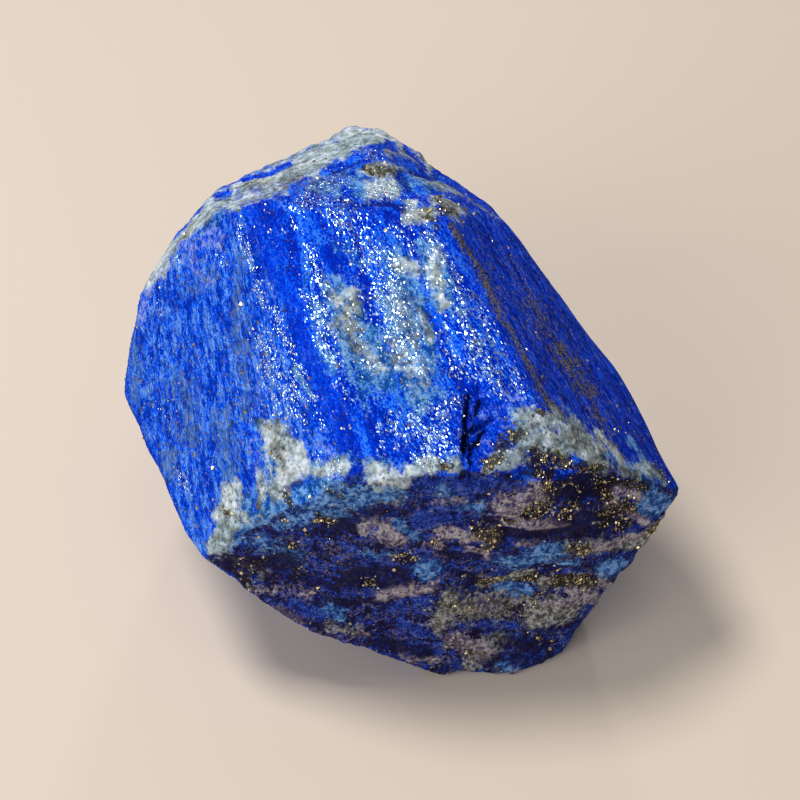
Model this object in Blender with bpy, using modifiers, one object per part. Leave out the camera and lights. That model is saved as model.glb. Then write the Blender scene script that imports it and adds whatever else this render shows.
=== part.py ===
"""Rough lapis lazuli: one hand-sized piece of rock, broken out of its bed and left uncut.

The stone is a block bounded by flat fracture faces. Three long faces split along the grain of the rock
and carry ribs and grooves that run down to the front, the front is broken across the grain and is lumpy,
and a small flat spot underneath is what it rests on. Lengths are in millimetres until the mesh is made.
"""
import itertools

import bmesh
import bpy
import numpy as np
from mathutils import Vector

MM = 0.001
NAME = "stone"

# The heart is a point inside the stone that every face is measured from. It stands this far from the
# origin, which is below the middle of the stone on the surface that it rests on.
HEART = (0.5, -12.0, 45.0)
REST_DEPTH = 45.0

# Fracture faces: compass direction in degrees (0 looks to -Y, 90 to +X), slope above level in degrees,
# and distance from the heart
FACES = {
    "central": (5, 68, 34.0),
    "left": (-57, 30, 38.5),
    "left_ridge": (-47, 41, 39.2),
    "right": (94, 45, 35.8),
    "broken": (4, 0, 36.6),
    "broken_left": (-13, 2, 39.8),
    "broken_right": (25, 0, 42.3),
    "top_step": (158, 79.5, 43.1),
    "cap": (-149, 52.5, 49.2),
    "corner": (35, 42.5, 43.3),
    "shoulder": (136, 49, 42.0),
    "upper_left": (-107, 33.5, 53.4),
    "left_back": (-115, -3, 52.2),
    "left_under": (-76, -31, 47.0),
    "left_low": (-65, -41, 43.4),
    "under_middle": (-46, -48, 46.2),
    "under_right": (65, -21, 55.8),
    "right_back": (134, 0, 31.8),
    "right_back_low": (122, -8.5, 36.0),
    "cap_left": (-140, 11.5, 53.2),
    "cap_back": (154, 27, 51.4),
    "cap_right": (128, 14, 36.4),
    "back": (175, -10, 62.0),
    "back_under": (170, -50, 55.6),
    "under": (0, -90, 44.4),
}

# Shells knocked off the edges and faces: direction and slope from the heart, radius of the round hollow
# and how deep it bites
CHIPS = {
    "top_notch": (167, 36, 5, 1.3),
    "low_right_notch": (58, -27, 7, 1.6),
    "pyrite_hollow": (50, 12, 11, 1.5),
    "front_hollow_left": (-20, -6, 45, 1.3),
    "front_hollow_right": (24, -16, 34, 1.2),
    "edge_nick_left": (-31, 24, 8, 1.3),
    "edge_nick_middle": (-9, 30, 6, 0.9),
    "edge_nick_right": (12, 31, 5, 0.8),
    "left_foot": (-72, -26, 40, 1.4),
    "right_side": (104, -30, 60, 1.8),
    "back_shell": (152, 0, 60, 2.2),
    "back_low": (-168, -26, 45, 2.6),
    "back_left_edge": (-130, -16, 40, 2.4),
    "back_right_edge": (140, -34, 70, 2.4),
}

# The crack near the lower end of the central face, as places measured from the heart
CRACK_LINES = [
    [(13.0, -22.4, 27.2), (12.4, -29.0, 24.5), (12.1, -36.4, 20.5)],
    [(17.1, -26.6, 25.4), (12.6, -30.0, 24.2)],
]
CRACK_HALF_WIDTH = 1.2
CRACK_DEPTH = 2.2

# The flat spot: its middle, its radius, and how far the rock bulges down to it before it is cut flat
SPOT_MIDDLE = (-2.0, 8.0)
SPOT_RADIUS = 24.0
SPOT_BULGE = 2.0

# The grain of the rock runs down and forward, and fans out from the back to the broken front
GRAIN = np.array([0.340, -0.831, -0.440])
ALONG = np.array([0.0, -0.882, -0.471])
THROUGH = np.array([0.0, -0.471, 0.882])
FAN_START = -48.0
FAN_RATE = 0.0075

# Ribs that stand along the central face: place across the grain, half width, height. Their height goes up
# and down along the grain by this share, in waves of these lengths
RIBS = [(-10.0, 2.6, 0.6), (4.8, 3.4, 0.55), (16.5, 2.6, 0.45)]
RIB_HEIGHT_SHARE = 0.6
RIB_WAVE = (0.5, (9, 16, 9), 8)

# Relief, each as its height, the length of its lumps on three axes, and the seed of its noise. Waves lie
# across, along and through the grain. Knobs are the thin ridges between the hollows of a coarse break
GRAIN_WAVES = [(0.34, (11, 70, 11), 1), (0.30, (5, 36, 5), 2), (0.20, (2.6, 18, 2.6), 3)]
LUMPS = [(0.9, (13, 13, 9), 4), (0.55, (6.5, 6.5, 4.5), 5)]
KNOBS = (0.35, (4.5, 4.5, 3), 6)
KNOB_RIDGE = 0.35
SWELL = (0.9, (30, 30, 30), 7)

# The ledge where the top step drops away behind the central face, and the wave of its line
LEDGE_HEIGHT = 0.6
LEDGE_HALF_WIDTH = 0.35
LEDGE_WAVE = (0.9, (6, 6, 6), 9)

# How far apart two faces' distances are when the edge between them is worn round, and how far a face turns
# across the grain when it starts to be lumpy and when it is wholly so
EDGE_WEAR = 0.5
SPLIT_AMOUNT = (0.3, 0.75)

# Noise: random slopes come as whole numbers of this many steps, and this brings the relief to about 1
SLOPE_STEPS = 1023
NOISE_SCALE = 1.6

# Limits that keep a division in bounds, and a distance beyond every face
LEAST_FACING = 0.02
LEAST_LOOK = 0.5
FAR_AWAY = 1000.0

# The block that the faces are cut from, the cell of the even grid laid over it, and the faces that are kept
BLOCK_SIZE = 400
GRID_CELL = 0.9
TRIANGLES = 9400

LAPIS_BLUE = (0.012, 0.050, 0.42, 1.0)
ROUGHNESS = 0.42


def outward(compass, slope):
    """Unit direction of a compass bearing and a slope, both in degrees, which may be whole columns."""
    compass = np.radians(compass)
    slope = np.radians(slope)
    return np.array([np.cos(slope) * np.sin(compass), -np.cos(slope) * np.cos(compass), np.sin(slope)])


def ramp(low, high, value):
    """Smooth rise from 0 at low to 1 at high."""
    share = np.clip((value - low) / (high - low), 0, 1)
    return share * share * (3 - 2 * share)


def scramble(cell, seed):
    """A repeatable 32-bit number for each whole-number cell."""
    mixed = cell[:, 0] * 73856093 ^ cell[:, 1] * 19349663 ^ cell[:, 2] * 83492791 ^ seed * 2654435761
    mixed = (mixed & 0xFFFFFFFF).astype(np.uint64)
    for shift, factor in ((16, 0x7FEB352D), (15, 0x846CA68B)):
        mixed ^= mixed >> np.uint64(shift)
        mixed = mixed * np.uint64(factor) & np.uint64(0xFFFFFFFF)
    return mixed ^ mixed >> np.uint64(16)


def noise(place, seed):
    """Smooth random relief of about -1 to 1: each cell corner has its own slope, blended between corners."""
    cell = np.floor(place).astype(np.int64)
    part = place - cell
    fade = part ** 3 * (part * (part * 6 - 15) + 10)
    total = np.zeros(len(place))
    for corner in itertools.product((0, 1), repeat=3):
        number = scramble(cell + np.array(corner), seed)
        slope = np.stack([number >> np.uint64(bits) & np.uint64(SLOPE_STEPS) for bits in (0, 10, 20)], 1)
        slope = slope / (SLOPE_STEPS / 2) - 1
        share = np.prod(np.where(corner, fade, 1 - fade), 1)
        total += share * (slope * (part - corner)).sum(1)
    return total * NOISE_SCALE


def relief(place, height, lengths, seed):
    """Noise of a height, stretched to a length on each axis."""
    return height * noise(place / lengths, seed)


def grain_places(place):
    """Places measured across, along and through the grain. The lines of grain spread towards the front."""
    along = place @ ALONG
    across = (place[:, 0] - FAN_START) * np.exp(-FAN_RATE * along) + FAN_START
    return np.stack([across, along, place @ THROUGH], 1)


def surface_reach(direction):
    """Distance from the heart to each face and each chip's hollow, and the way that each of them looks."""
    table = np.array(list(FACES.values()))
    looks = outward(table[:, 0], table[:, 1]).T
    facing = np.maximum(direction @ looks.T, LEAST_FACING)
    reach = table[:, 2] / facing
    face_looks = np.broadcast_to(looks, (len(direction), *looks.shape))

    chip_reach = []
    chip_looks = []
    for compass, slope, radius, depth in CHIPS.values():
        line = outward(compass, slope)
        skin = np.min(table[:, 2] / np.maximum(looks @ line, LEAST_FACING))
        centre = line * (skin + radius - depth)
        nearest = direction @ centre
        inside = nearest ** 2 - centre @ centre + radius ** 2
        entry = nearest - np.sqrt(np.maximum(inside, 0))
        entry = np.where((inside > 0) & (nearest > 0), entry, FAR_AWAY)
        chip_reach.append(entry)
        chip_looks.append((centre - direction * entry[:, None]) / radius)
    reach = np.concatenate([reach, np.stack(chip_reach, 1)], 1)
    return reach, np.concatenate([face_looks, np.stack(chip_looks, 1)], 1)


def distance_to_line(place, line):
    """Shortest distance from each place to a line through several points."""
    nearest = np.full(len(place), FAR_AWAY)
    for start, end in itertools.pairwise(np.array(line)):
        run = end - start
        share = np.clip((place - start) @ run / (run @ run), 0, 1)
        nearest = np.minimum(nearest, np.linalg.norm(place - start - share[:, None] * run, axis=1))
    return nearest


def crack_depth(place):
    """How deep the forked crack is: grooves that are deepest on their middle lines."""
    depth = np.zeros(len(place))
    for line in CRACK_LINES:
        away = distance_to_line(place, line) / CRACK_HALF_WIDTH
        depth = np.maximum(depth, CRACK_DEPTH * np.clip(1 - away ** 2, 0, 1) ** 2)
    return depth


def stone_radius(direction):
    """Distance from the heart to the stone's surface in each direction.

    The nearest face or hollow counts, and where two are about as near, their edge is worn round. Ribs and
    long waves stand on faces that run with the grain, and lumps on faces that are broken across it.
    """
    reach, looks = surface_reach(direction)
    nearest = reach.min(1)
    wear = np.exp((nearest[:, None] - reach) / EDGE_WEAR)
    radius = nearest - EDGE_WEAR * np.log(wear.sum(1))
    share = wear / wear.sum(1)[:, None]
    look = (share[:, :, None] * looks).sum(1)
    look /= np.linalg.norm(look, axis=1)[:, None]

    place = direction * radius[:, None]
    grain = grain_places(place)
    crossing = ramp(*SPLIT_AMOUNT, np.abs(look @ GRAIN))
    waves = sum(relief(grain, *wave) for wave in GRAIN_WAVES)
    lumps = sum(relief(place, *lump) for lump in LUMPS)
    knob_height, *knob = KNOBS
    lumps += knob_height * (KNOB_RIDGE - np.abs(relief(place, 1, *knob)))
    height = relief(place, *SWELL) + (1 - crossing) * waves + crossing * lumps

    names = list(FACES)
    central = names.index("central")
    top_step = names.index("top_step")
    for across, half_width, rise in RIBS:
        rib = np.exp(-((grain[:, 0] - across) / half_width) ** 2)
        height += rise * rib * share[:, central] * (RIB_HEIGHT_SHARE + relief(grain, *RIB_WAVE))
    past_ledge = reach[:, central] - reach[:, top_step] + relief(place, *LEDGE_WAVE)
    ledge = ramp(-LEDGE_HALF_WIDTH, LEDGE_HALF_WIDTH, past_ledge)
    height -= LEDGE_HEIGHT * ledge * (share[:, central] + share[:, top_step])
    height -= crack_depth(place)
    off_spot = np.hypot(place[:, 0] - SPOT_MIDDLE[0], place[:, 1] - SPOT_MIDDLE[1]) / SPOT_RADIUS
    height += SPOT_BULGE * np.exp(-off_spot ** 2) * share[:, names.index("under")]

    radius += height / np.maximum((direction * look).sum(1), LEAST_LOOK)
    floor = REST_DEPTH / np.maximum(-direction[:, 2], LEAST_FACING)
    return np.where(direction[:, 2] < 0, np.minimum(radius, floor), radius)


def new_collection(name):
    """An empty collection in the scene."""
    collection = bpy.data.collections.new(name)
    bpy.context.scene.collection.children.link(collection)
    return collection


def lapis_material():
    """Deep blue rock with a dull shine."""
    material = bpy.data.materials.new("lapis_rock")
    material.use_nodes = True
    shader = material.node_tree.nodes["Principled BSDF"]
    shader.inputs["Base Color"].default_value = LAPIS_BLUE
    shader.inputs["Roughness"].default_value = ROUGHNESS
    shader.inputs["Metallic"].default_value = 0.0
    return material


def faceted_block():
    """A cube with everything beyond each fracture face cut away, as a mesh measured from the heart."""
    block = bmesh.new()
    bmesh.ops.create_cube(block, size=BLOCK_SIZE * MM)
    for compass, slope, distance in FACES.values():
        look = Vector(outward(compass, slope))
        cut = bmesh.ops.bisect_plane(
            block,
            geom=block.verts[:] + block.edges[:] + block.faces[:],
            plane_co=look * distance * MM,
            plane_no=look,
            clear_outer=True,
        )
        rim = [item for item in cut["geom_cut"] if isinstance(item, bmesh.types.BMEdge)]
        bmesh.ops.contextual_create(block, geom=rim)
    bmesh.ops.recalc_face_normals(block, faces=block.faces[:])
    mesh = bpy.data.meshes.new(NAME)
    block.to_mesh(mesh)
    block.free()
    return mesh


def evaluated_mesh(item):
    """The object's mesh with its modifiers applied."""
    view = bpy.context.evaluated_depsgraph_get()
    view.update()
    return bpy.data.meshes.new_from_object(item.evaluated_get(view))


def fine_grid(item):
    """Replace the object's few large faces with an even grid of small ones."""
    remesh = item.modifiers.new("even_grid", "REMESH")
    remesh.mode = "VOXEL"
    remesh.voxel_size = GRID_CELL * MM
    mesh = evaluated_mesh(item)
    item.modifiers.clear()
    item.data = mesh


def shape_surface(mesh):
    """Move every corner of the grid in or out to the stone's own surface."""
    places = np.empty(len(mesh.vertices) * 3, dtype=np.float32)
    mesh.vertices.foreach_get("co", places)
    places = places.reshape(-1, 3).astype(float)
    direction = places / np.linalg.norm(places, axis=1)[:, None]
    shaped = direction * stone_radius(direction)[:, None] * MM
    mesh.vertices.foreach_set("co", shaped.astype(np.float32).ravel())
    mesh.update()


def make_stone(collection):
    """The whole stone, as one closed solid resting on its flat spot."""
    stone = bpy.data.objects.new(NAME, faceted_block())
    collection.objects.link(stone)
    bpy.context.view_layer.update()
    fine_grid(stone)
    shape_surface(stone.data)
    stone.data.name = NAME
    stone.data.materials.append(lapis_material())
    stone.location = Vector(HEART) * MM

    thin = stone.modifiers.new("fewer_faces", "DECIMATE")
    thin.decimate_type = "COLLAPSE"
    thin.use_collapse_triangulate = True
    triangles = sum(len(face.vertices) - 2 for face in stone.data.polygons)
    thin.ratio = min(1.0, TRIANGLES / triangles)


def main():
    for item in list(bpy.data.objects):
        bpy.data.objects.remove(item, do_unlink=True)
    make_stone(new_collection("rough_lapis_lazuli"))


main()
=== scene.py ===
"""Rough lapis lazuli: the looks of one hand-sized piece of blue rock, on a pale floor in soft light."""
import itertools

import bpy
import numpy as np
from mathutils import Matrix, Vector


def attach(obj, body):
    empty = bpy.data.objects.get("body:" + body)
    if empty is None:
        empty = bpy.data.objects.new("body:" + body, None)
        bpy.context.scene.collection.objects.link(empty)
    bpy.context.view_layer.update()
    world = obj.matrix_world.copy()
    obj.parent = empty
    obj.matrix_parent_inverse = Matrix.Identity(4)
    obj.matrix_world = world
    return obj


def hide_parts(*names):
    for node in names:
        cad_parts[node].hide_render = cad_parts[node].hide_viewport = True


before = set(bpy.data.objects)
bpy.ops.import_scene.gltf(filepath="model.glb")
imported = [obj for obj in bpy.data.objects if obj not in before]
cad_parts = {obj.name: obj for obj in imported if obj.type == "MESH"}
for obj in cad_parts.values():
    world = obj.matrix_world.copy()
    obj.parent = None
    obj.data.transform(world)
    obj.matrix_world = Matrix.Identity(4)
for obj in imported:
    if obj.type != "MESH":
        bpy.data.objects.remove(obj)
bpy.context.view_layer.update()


# The stone's form. One natural piece of lapis rock, broken out of its bed: three long faces split along
# the grain, a front broken across it, and a small flat spot that it rests on. Lengths are in millimetres,
# measured from the heart, a point inside the stone.
MM = 0.001
HEART = np.array([0.5, -12.0, 45.0])
REST_DEPTH = 45.0

# Fracture faces: compass direction in degrees (0 looks to -Y, 90 to +X), slope above level in degrees,
# and distance from the heart
FACES = {
    "central": (5, 68, 34.0),
    "left": (-57, 30, 38.5),
    "left_ridge": (-47, 41, 39.2),
    "right": (94, 45, 35.8),
    "broken": (4, 0, 36.6),
    "broken_left": (-13, 2, 39.8),
    "broken_right": (25, 0, 42.3),
    "top_step": (158, 79.5, 43.1),
    "cap": (-149, 52.5, 49.2),
    "corner": (35, 42.5, 43.3),
    "shoulder": (136, 49, 42.0),
    "upper_left": (-107, 33.5, 53.4),
    "left_back": (-115, -3, 52.2),
    "left_under": (-76, -31, 47.0),
    "left_low": (-65, -41, 43.4),
    "under_middle": (-46, -48, 46.2),
    "under_right": (65, -21, 55.8),
    "right_back": (134, 0, 31.8),
    "right_back_low": (122, -8.5, 36.0),
    "cap_left": (-140, 11.5, 53.2),
    "cap_back": (154, 27, 51.4),
    "cap_right": (128, 14, 36.4),
    "back": (175, -10, 62.0),
    "back_under": (170, -50, 55.6),
    "under": (0, -90, 44.4),
}

# Shells knocked off the edges and faces: direction and slope from the heart, radius of the round hollow
# and how deep it bites
CHIPS = {
    "top_notch": (167, 36, 5, 1.3),
    "low_right_notch": (58, -27, 7, 1.6),
    "pyrite_hollow": (50, 12, 11, 1.5),
    "front_hollow_left": (-20, -6, 45, 1.3),
    "front_hollow_right": (24, -16, 34, 1.2),
    "edge_nick_left": (-31, 24, 8, 1.3),
    "edge_nick_middle": (-9, 30, 6, 0.9),
    "edge_nick_right": (12, 31, 5, 0.8),
    "left_foot": (-72, -26, 40, 1.4),
    "right_side": (104, -30, 60, 1.8),
    "back_shell": (152, 0, 60, 2.2),
    "back_low": (-168, -26, 45, 2.6),
    "back_left_edge": (-130, -16, 40, 2.4),
    "back_right_edge": (140, -34, 70, 2.4),
}

CRACK_LINES = [
    [(13.0, -22.4, 27.2), (12.4, -29.0, 24.5), (12.1, -36.4, 20.5)],
    [(17.1, -26.6, 25.4), (12.6, -30.0, 24.2)],
]
CRACK_HALF_WIDTH = 1.2
CRACK_DEPTH = 2.2

SPOT_MIDDLE = (-2.0, 8.0)
SPOT_RADIUS = 24.0
SPOT_BULGE = 2.0

# The grain of the rock runs down and forward, and fans out from the back to the broken front
GRAIN = np.array([0.340, -0.831, -0.440])
ALONG = np.array([0.0, -0.882, -0.471])
THROUGH = np.array([0.0, -0.471, 0.882])
FAN_START = -48.0
FAN_RATE = 0.0075

# Ribs that stand along the central face: place across the grain, half width, height. Their height goes up
# and down along the grain
RIBS = [(-10.0, 2.6, 0.6), (4.8, 3.4, 0.55), (16.5, 2.6, 0.45)]
RIB_HEIGHT_SHARE = 0.6

# Relief, each as its height, the length of its lumps on three axes, and the seed of its noise. Waves lie
# across, along and through the grain. Knobs are the thin ridges between the hollows of a coarse break.
# Chipping eats into the edges of broken faces, and fraying into those of split ones.
RIB_WAVE = (0.5, (9, 16, 9), 8)
GRAIN_WAVES = [
    (0.34, (11, 70, 11), 1), (0.30, (5, 36, 5), 2), (0.20, (2.6, 18, 2.6), 3), (0.11, (1.4, 8, 1.4), 11)]
LUMPS = [(0.9, (13, 13, 9), 4), (0.55, (6.5, 6.5, 4.5), 5), (0.22, (2.4, 2.4, 1.8), 12), (0.12, 1.3, 13)]
KNOBS = (0.35, (4.5, 4.5, 3), 6)
KNOB_RIDGE = 0.35
SWELL = (0.9, 30, 7)
LEDGE_WAVE = (0.9, 6, 9)
CHIPPING = [(0.42, (3.4, 3.4, 2.6), 51), (0.24, 1.5, 52)]
FRAYING = (0.16, (1.5, 6, 1.5), 53)

# The ledge where the top step drops away behind the central face
LEDGE_HEIGHT = 0.6
LEDGE_HALF_WIDTH = 0.35

# How far apart two faces' distances are when the edge between them is worn round, and how far a face turns
# across the grain when it starts to be lumpy and when it is wholly so
EDGE_WEAR = 0.5
SPLIT_AMOUNT = (0.3, 0.75)

# Noise: random slopes come as whole numbers of this many steps, and this brings the relief to about 1
SLOPE_STEPS = 1023
NOISE_SCALE = 1.6

# Limits that keep a division in bounds, a distance beyond every face, and cells along a side of the grid
LEAST_FACING = 0.02
LEAST_LOOK = 0.5
FAR_AWAY = 1000.0
GRID_COUNT = 128
FACE_TABLE = np.array(list(FACES.values()))


def outward(compass, slope):
    """Unit direction: sine and cosine of a compass bearing and of a slope, both in degrees."""
    compass = np.radians(compass)
    slope = np.radians(slope)
    return np.array([np.cos(slope) * np.sin(compass), -np.cos(slope) * np.cos(compass), np.sin(slope)])


def ramp(low, high, value):
    """Smooth rise from 0 at low to 1 at high: three times the share squared, less twice its cube."""
    share = np.clip((value - low) / (high - low), 0, 1)
    return share * share * (3 - 2 * share)


def scramble(cell, seed):
    """A repeatable 32-bit number for each whole-number cell, by multiplying and folding its bits."""
    mixed = cell[:, 0] * 73856093 ^ cell[:, 1] * 19349663 ^ cell[:, 2] * 83492791 ^ seed * 2654435761
    mixed = (mixed & 0xFFFFFFFF).astype(np.uint64)
    for shift, factor in ((16, 0x7FEB352D), (15, 0x846CA68B)):
        mixed ^= mixed >> np.uint64(shift)
        mixed = mixed * np.uint64(factor) & np.uint64(0xFFFFFFFF)
    return mixed ^ mixed >> np.uint64(16)


def noise(place, seed):
    """Smooth random relief of about -1 to 1: each cell corner has its own slope, blended between corners."""
    cell = np.floor(place).astype(np.int64)
    part = place - cell
    fade = part ** 3 * (part * (part * 6 - 15) + 10)
    total = np.zeros(len(place))
    for corner in itertools.product((0, 1), repeat=3):
        number = scramble(cell + np.array(corner), seed)
        slope = np.stack([number >> np.uint64(bits) & np.uint64(SLOPE_STEPS) for bits in (0, 10, 20)], 1)
        slope = slope / (SLOPE_STEPS / 2) - 1
        share = np.prod(np.where(corner, fade, 1 - fade), 1)
        total += share * (slope * (part - corner)).sum(1)
    return total * NOISE_SCALE


def relief(place, height, lengths, seed):
    """Noise of a height, stretched to a length on each axis."""
    return height * noise(place / lengths, seed)


def grain_places(place):
    """Places across, along and through the grain: the distance across shrinks by a power of e along it."""
    along = place @ ALONG
    across = (place[:, 0] - FAN_START) * np.exp(-FAN_RATE * along) + FAN_START
    return np.stack([across, along, place @ THROUGH], 1)


def surface_reach(direction):
    """Distance from the heart to each face, its own distance over the cosine towards it, and to each
    chip's hollow, where the line enters its ball; and the way that each of them looks."""
    looks = outward(FACE_TABLE[:, 0], FACE_TABLE[:, 1]).T
    reach = FACE_TABLE[:, 2] / np.maximum(direction @ looks.T, LEAST_FACING)
    face_looks = np.broadcast_to(looks, (len(direction), *looks.shape))

    chip_reach = []
    chip_looks = []
    for compass, slope, radius, depth in CHIPS.values():
        line = outward(compass, slope)
        skin = np.min(FACE_TABLE[:, 2] / np.maximum(looks @ line, LEAST_FACING))
        centre = line * (skin + radius - depth)
        nearest = direction @ centre
        inside = nearest ** 2 - centre @ centre + radius ** 2
        entry = nearest - np.sqrt(np.maximum(inside, 0))
        entry = np.where((inside > 0) & (nearest > 0), entry, FAR_AWAY)
        chip_reach.append(entry)
        chip_looks.append((centre - direction * entry[:, None]) / radius)
    reach = np.concatenate([reach, np.stack(chip_reach, 1)], 1)
    return reach, np.concatenate([face_looks, np.stack(chip_looks, 1)], 1)


def soft_nearest(reach, wear):
    """The nearest reach worn down at edges, as a soft minimum over a wear length, and each face's share."""
    nearest = reach.min(1)
    weight = np.exp((nearest[:, None] - reach) / wear)
    return nearest - wear * np.log(weight.sum(1)), weight / weight.sum(1)[:, None]


def distance_to_line(place, line):
    """Shortest distance from each place to a line through several points."""
    nearest = np.full(len(place), FAR_AWAY)
    for start, end in itertools.pairwise(np.array(line, dtype=float)):
        run = end - start
        share = np.clip((place - start) @ run / (run @ run), 0, 1)
        nearest = np.minimum(nearest, np.linalg.norm(place - start - share[:, None] * run, axis=1))
    return nearest


def crack_depth(place):
    """Depth of the crack: greatest on its middle lines, and 0 past its half width, as a squared bowl."""
    depth = np.zeros(len(place))
    for line in CRACK_LINES:
        away = distance_to_line(place, line) / CRACK_HALF_WIDTH
        depth = np.maximum(depth, CRACK_DEPTH * np.clip(1 - away ** 2, 0, 1) ** 2)
    return depth


def stone_surface(direction):
    """The surface in each direction from the heart: the nearest face or hollow, with worn edges, plus
    ribs and long waves on split faces and lumps on broken ones. Gives places and what lies there."""
    reach, looks = surface_reach(direction)
    place = direction * reach.min(1)[:, None]
    chipping = sum(relief(place, *chips) for chips in CHIPPING)
    fraying = relief(grain_places(place), *FRAYING)
    runs_across = np.abs(looks @ GRAIN) > SPLIT_AMOUNT[1]
    reach = reach + np.where(runs_across, chipping[:, None], fraying[:, None])
    radius, share = soft_nearest(reach, EDGE_WEAR)
    look = (share[:, :, None] * looks).sum(1)
    look /= np.linalg.norm(look, axis=1)[:, None]

    place = direction * radius[:, None]
    grain = grain_places(place)
    crossing = ramp(*SPLIT_AMOUNT, np.abs(look @ GRAIN))
    waves = sum(relief(grain, *wave) for wave in GRAIN_WAVES)
    lumps = sum(relief(place, *lump) for lump in LUMPS)
    knob_height, *knob = KNOBS
    lumps += knob_height * (KNOB_RIDGE - np.abs(relief(place, 1, *knob)))
    height = relief(place, *SWELL) + (1 - crossing) * waves + crossing * lumps

    names = list(FACES)
    central = share[:, names.index("central")]
    for across, half_width, rise in RIBS:
        rib = np.exp(-((grain[:, 0] - across) / half_width) ** 2)
        height += rise * rib * central * (RIB_HEIGHT_SHARE + relief(grain, *RIB_WAVE))
    top_step = names.index("top_step")
    past_ledge = reach[:, names.index("central")] - reach[:, top_step] + relief(place, *LEDGE_WAVE)
    ledge = ramp(-LEDGE_HALF_WIDTH, LEDGE_HALF_WIDTH, past_ledge)
    height -= LEDGE_HEIGHT * ledge * (central + share[:, top_step])
    height -= crack_depth(place)
    off_spot = np.hypot(place[:, 0] - SPOT_MIDDLE[0], place[:, 1] - SPOT_MIDDLE[1]) / SPOT_RADIUS
    height += SPOT_BULGE * np.exp(-off_spot ** 2) * share[:, names.index("under")]

    radius += height / np.maximum((direction * look).sum(1), LEAST_LOOK)
    floor = REST_DEPTH / np.maximum(-direction[:, 2], LEAST_FACING)
    radius = np.where(direction[:, 2] < 0, np.minimum(radius, floor), radius)
    return direction * radius[:, None], look, crossing


def cube_grid(count):
    """Directions and quads of a ball made of six square grids: tangents of even angles, closed at seams."""
    even = np.tan(np.linspace(-np.pi / 4, np.pi / 4, count + 1))
    first, second = np.meshgrid(even, even, indexing="ij")
    one = np.ones_like(first)
    sides = (
        (one, first, second), (-one, -first, second), (-first, one, second),
        (first, -one, second), (-second, first, one), (second, first, -one),
    )
    points = np.concatenate([np.stack(side, -1).reshape(-1, 3) for side in sides])
    row, column = np.meshgrid(np.arange(count), np.arange(count), indexing="ij")
    corner = (row * (count + 1) + column).ravel()
    quad = np.stack([corner, corner + count + 1, corner + count + 2, corner + 1], 1)
    quads = np.concatenate([quad + side * (count + 1) ** 2 for side in range(6)])
    _, kept, joined = np.unique(np.round(points, 7), axis=0, return_index=True, return_inverse=True)
    points = points[kept]
    return points / np.linalg.norm(points, axis=1)[:, None], joined.reshape(-1)[quads]


def add_piece(name, places, faces):
    """A mesh object at the origin, from places in metres and the corners of its faces."""
    mesh = bpy.data.meshes.new(name)
    mesh.from_pydata(places, [], faces)
    piece = bpy.data.objects.new(name, mesh)
    bpy.context.scene.collection.objects.link(piece)
    return piece


directions, quads = cube_grid(GRID_COUNT)
places, look, crossing = stone_surface(directions)

# Where the minerals lie on the faces that the photograph shows. Each is a stroke, named for its place and
# given in pixels of the 800 x 800 photograph: from x, y to x, y, its half width, and its strength
VIEW_SLOPE = 50.0
VIEW_DISTANCE = 500.0
VIEW_FOCAL_PIXELS = 2500.0
VIEW_MIDDLE_PIXEL = 400.0
STROKE_SPREAD = 1.3

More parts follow.
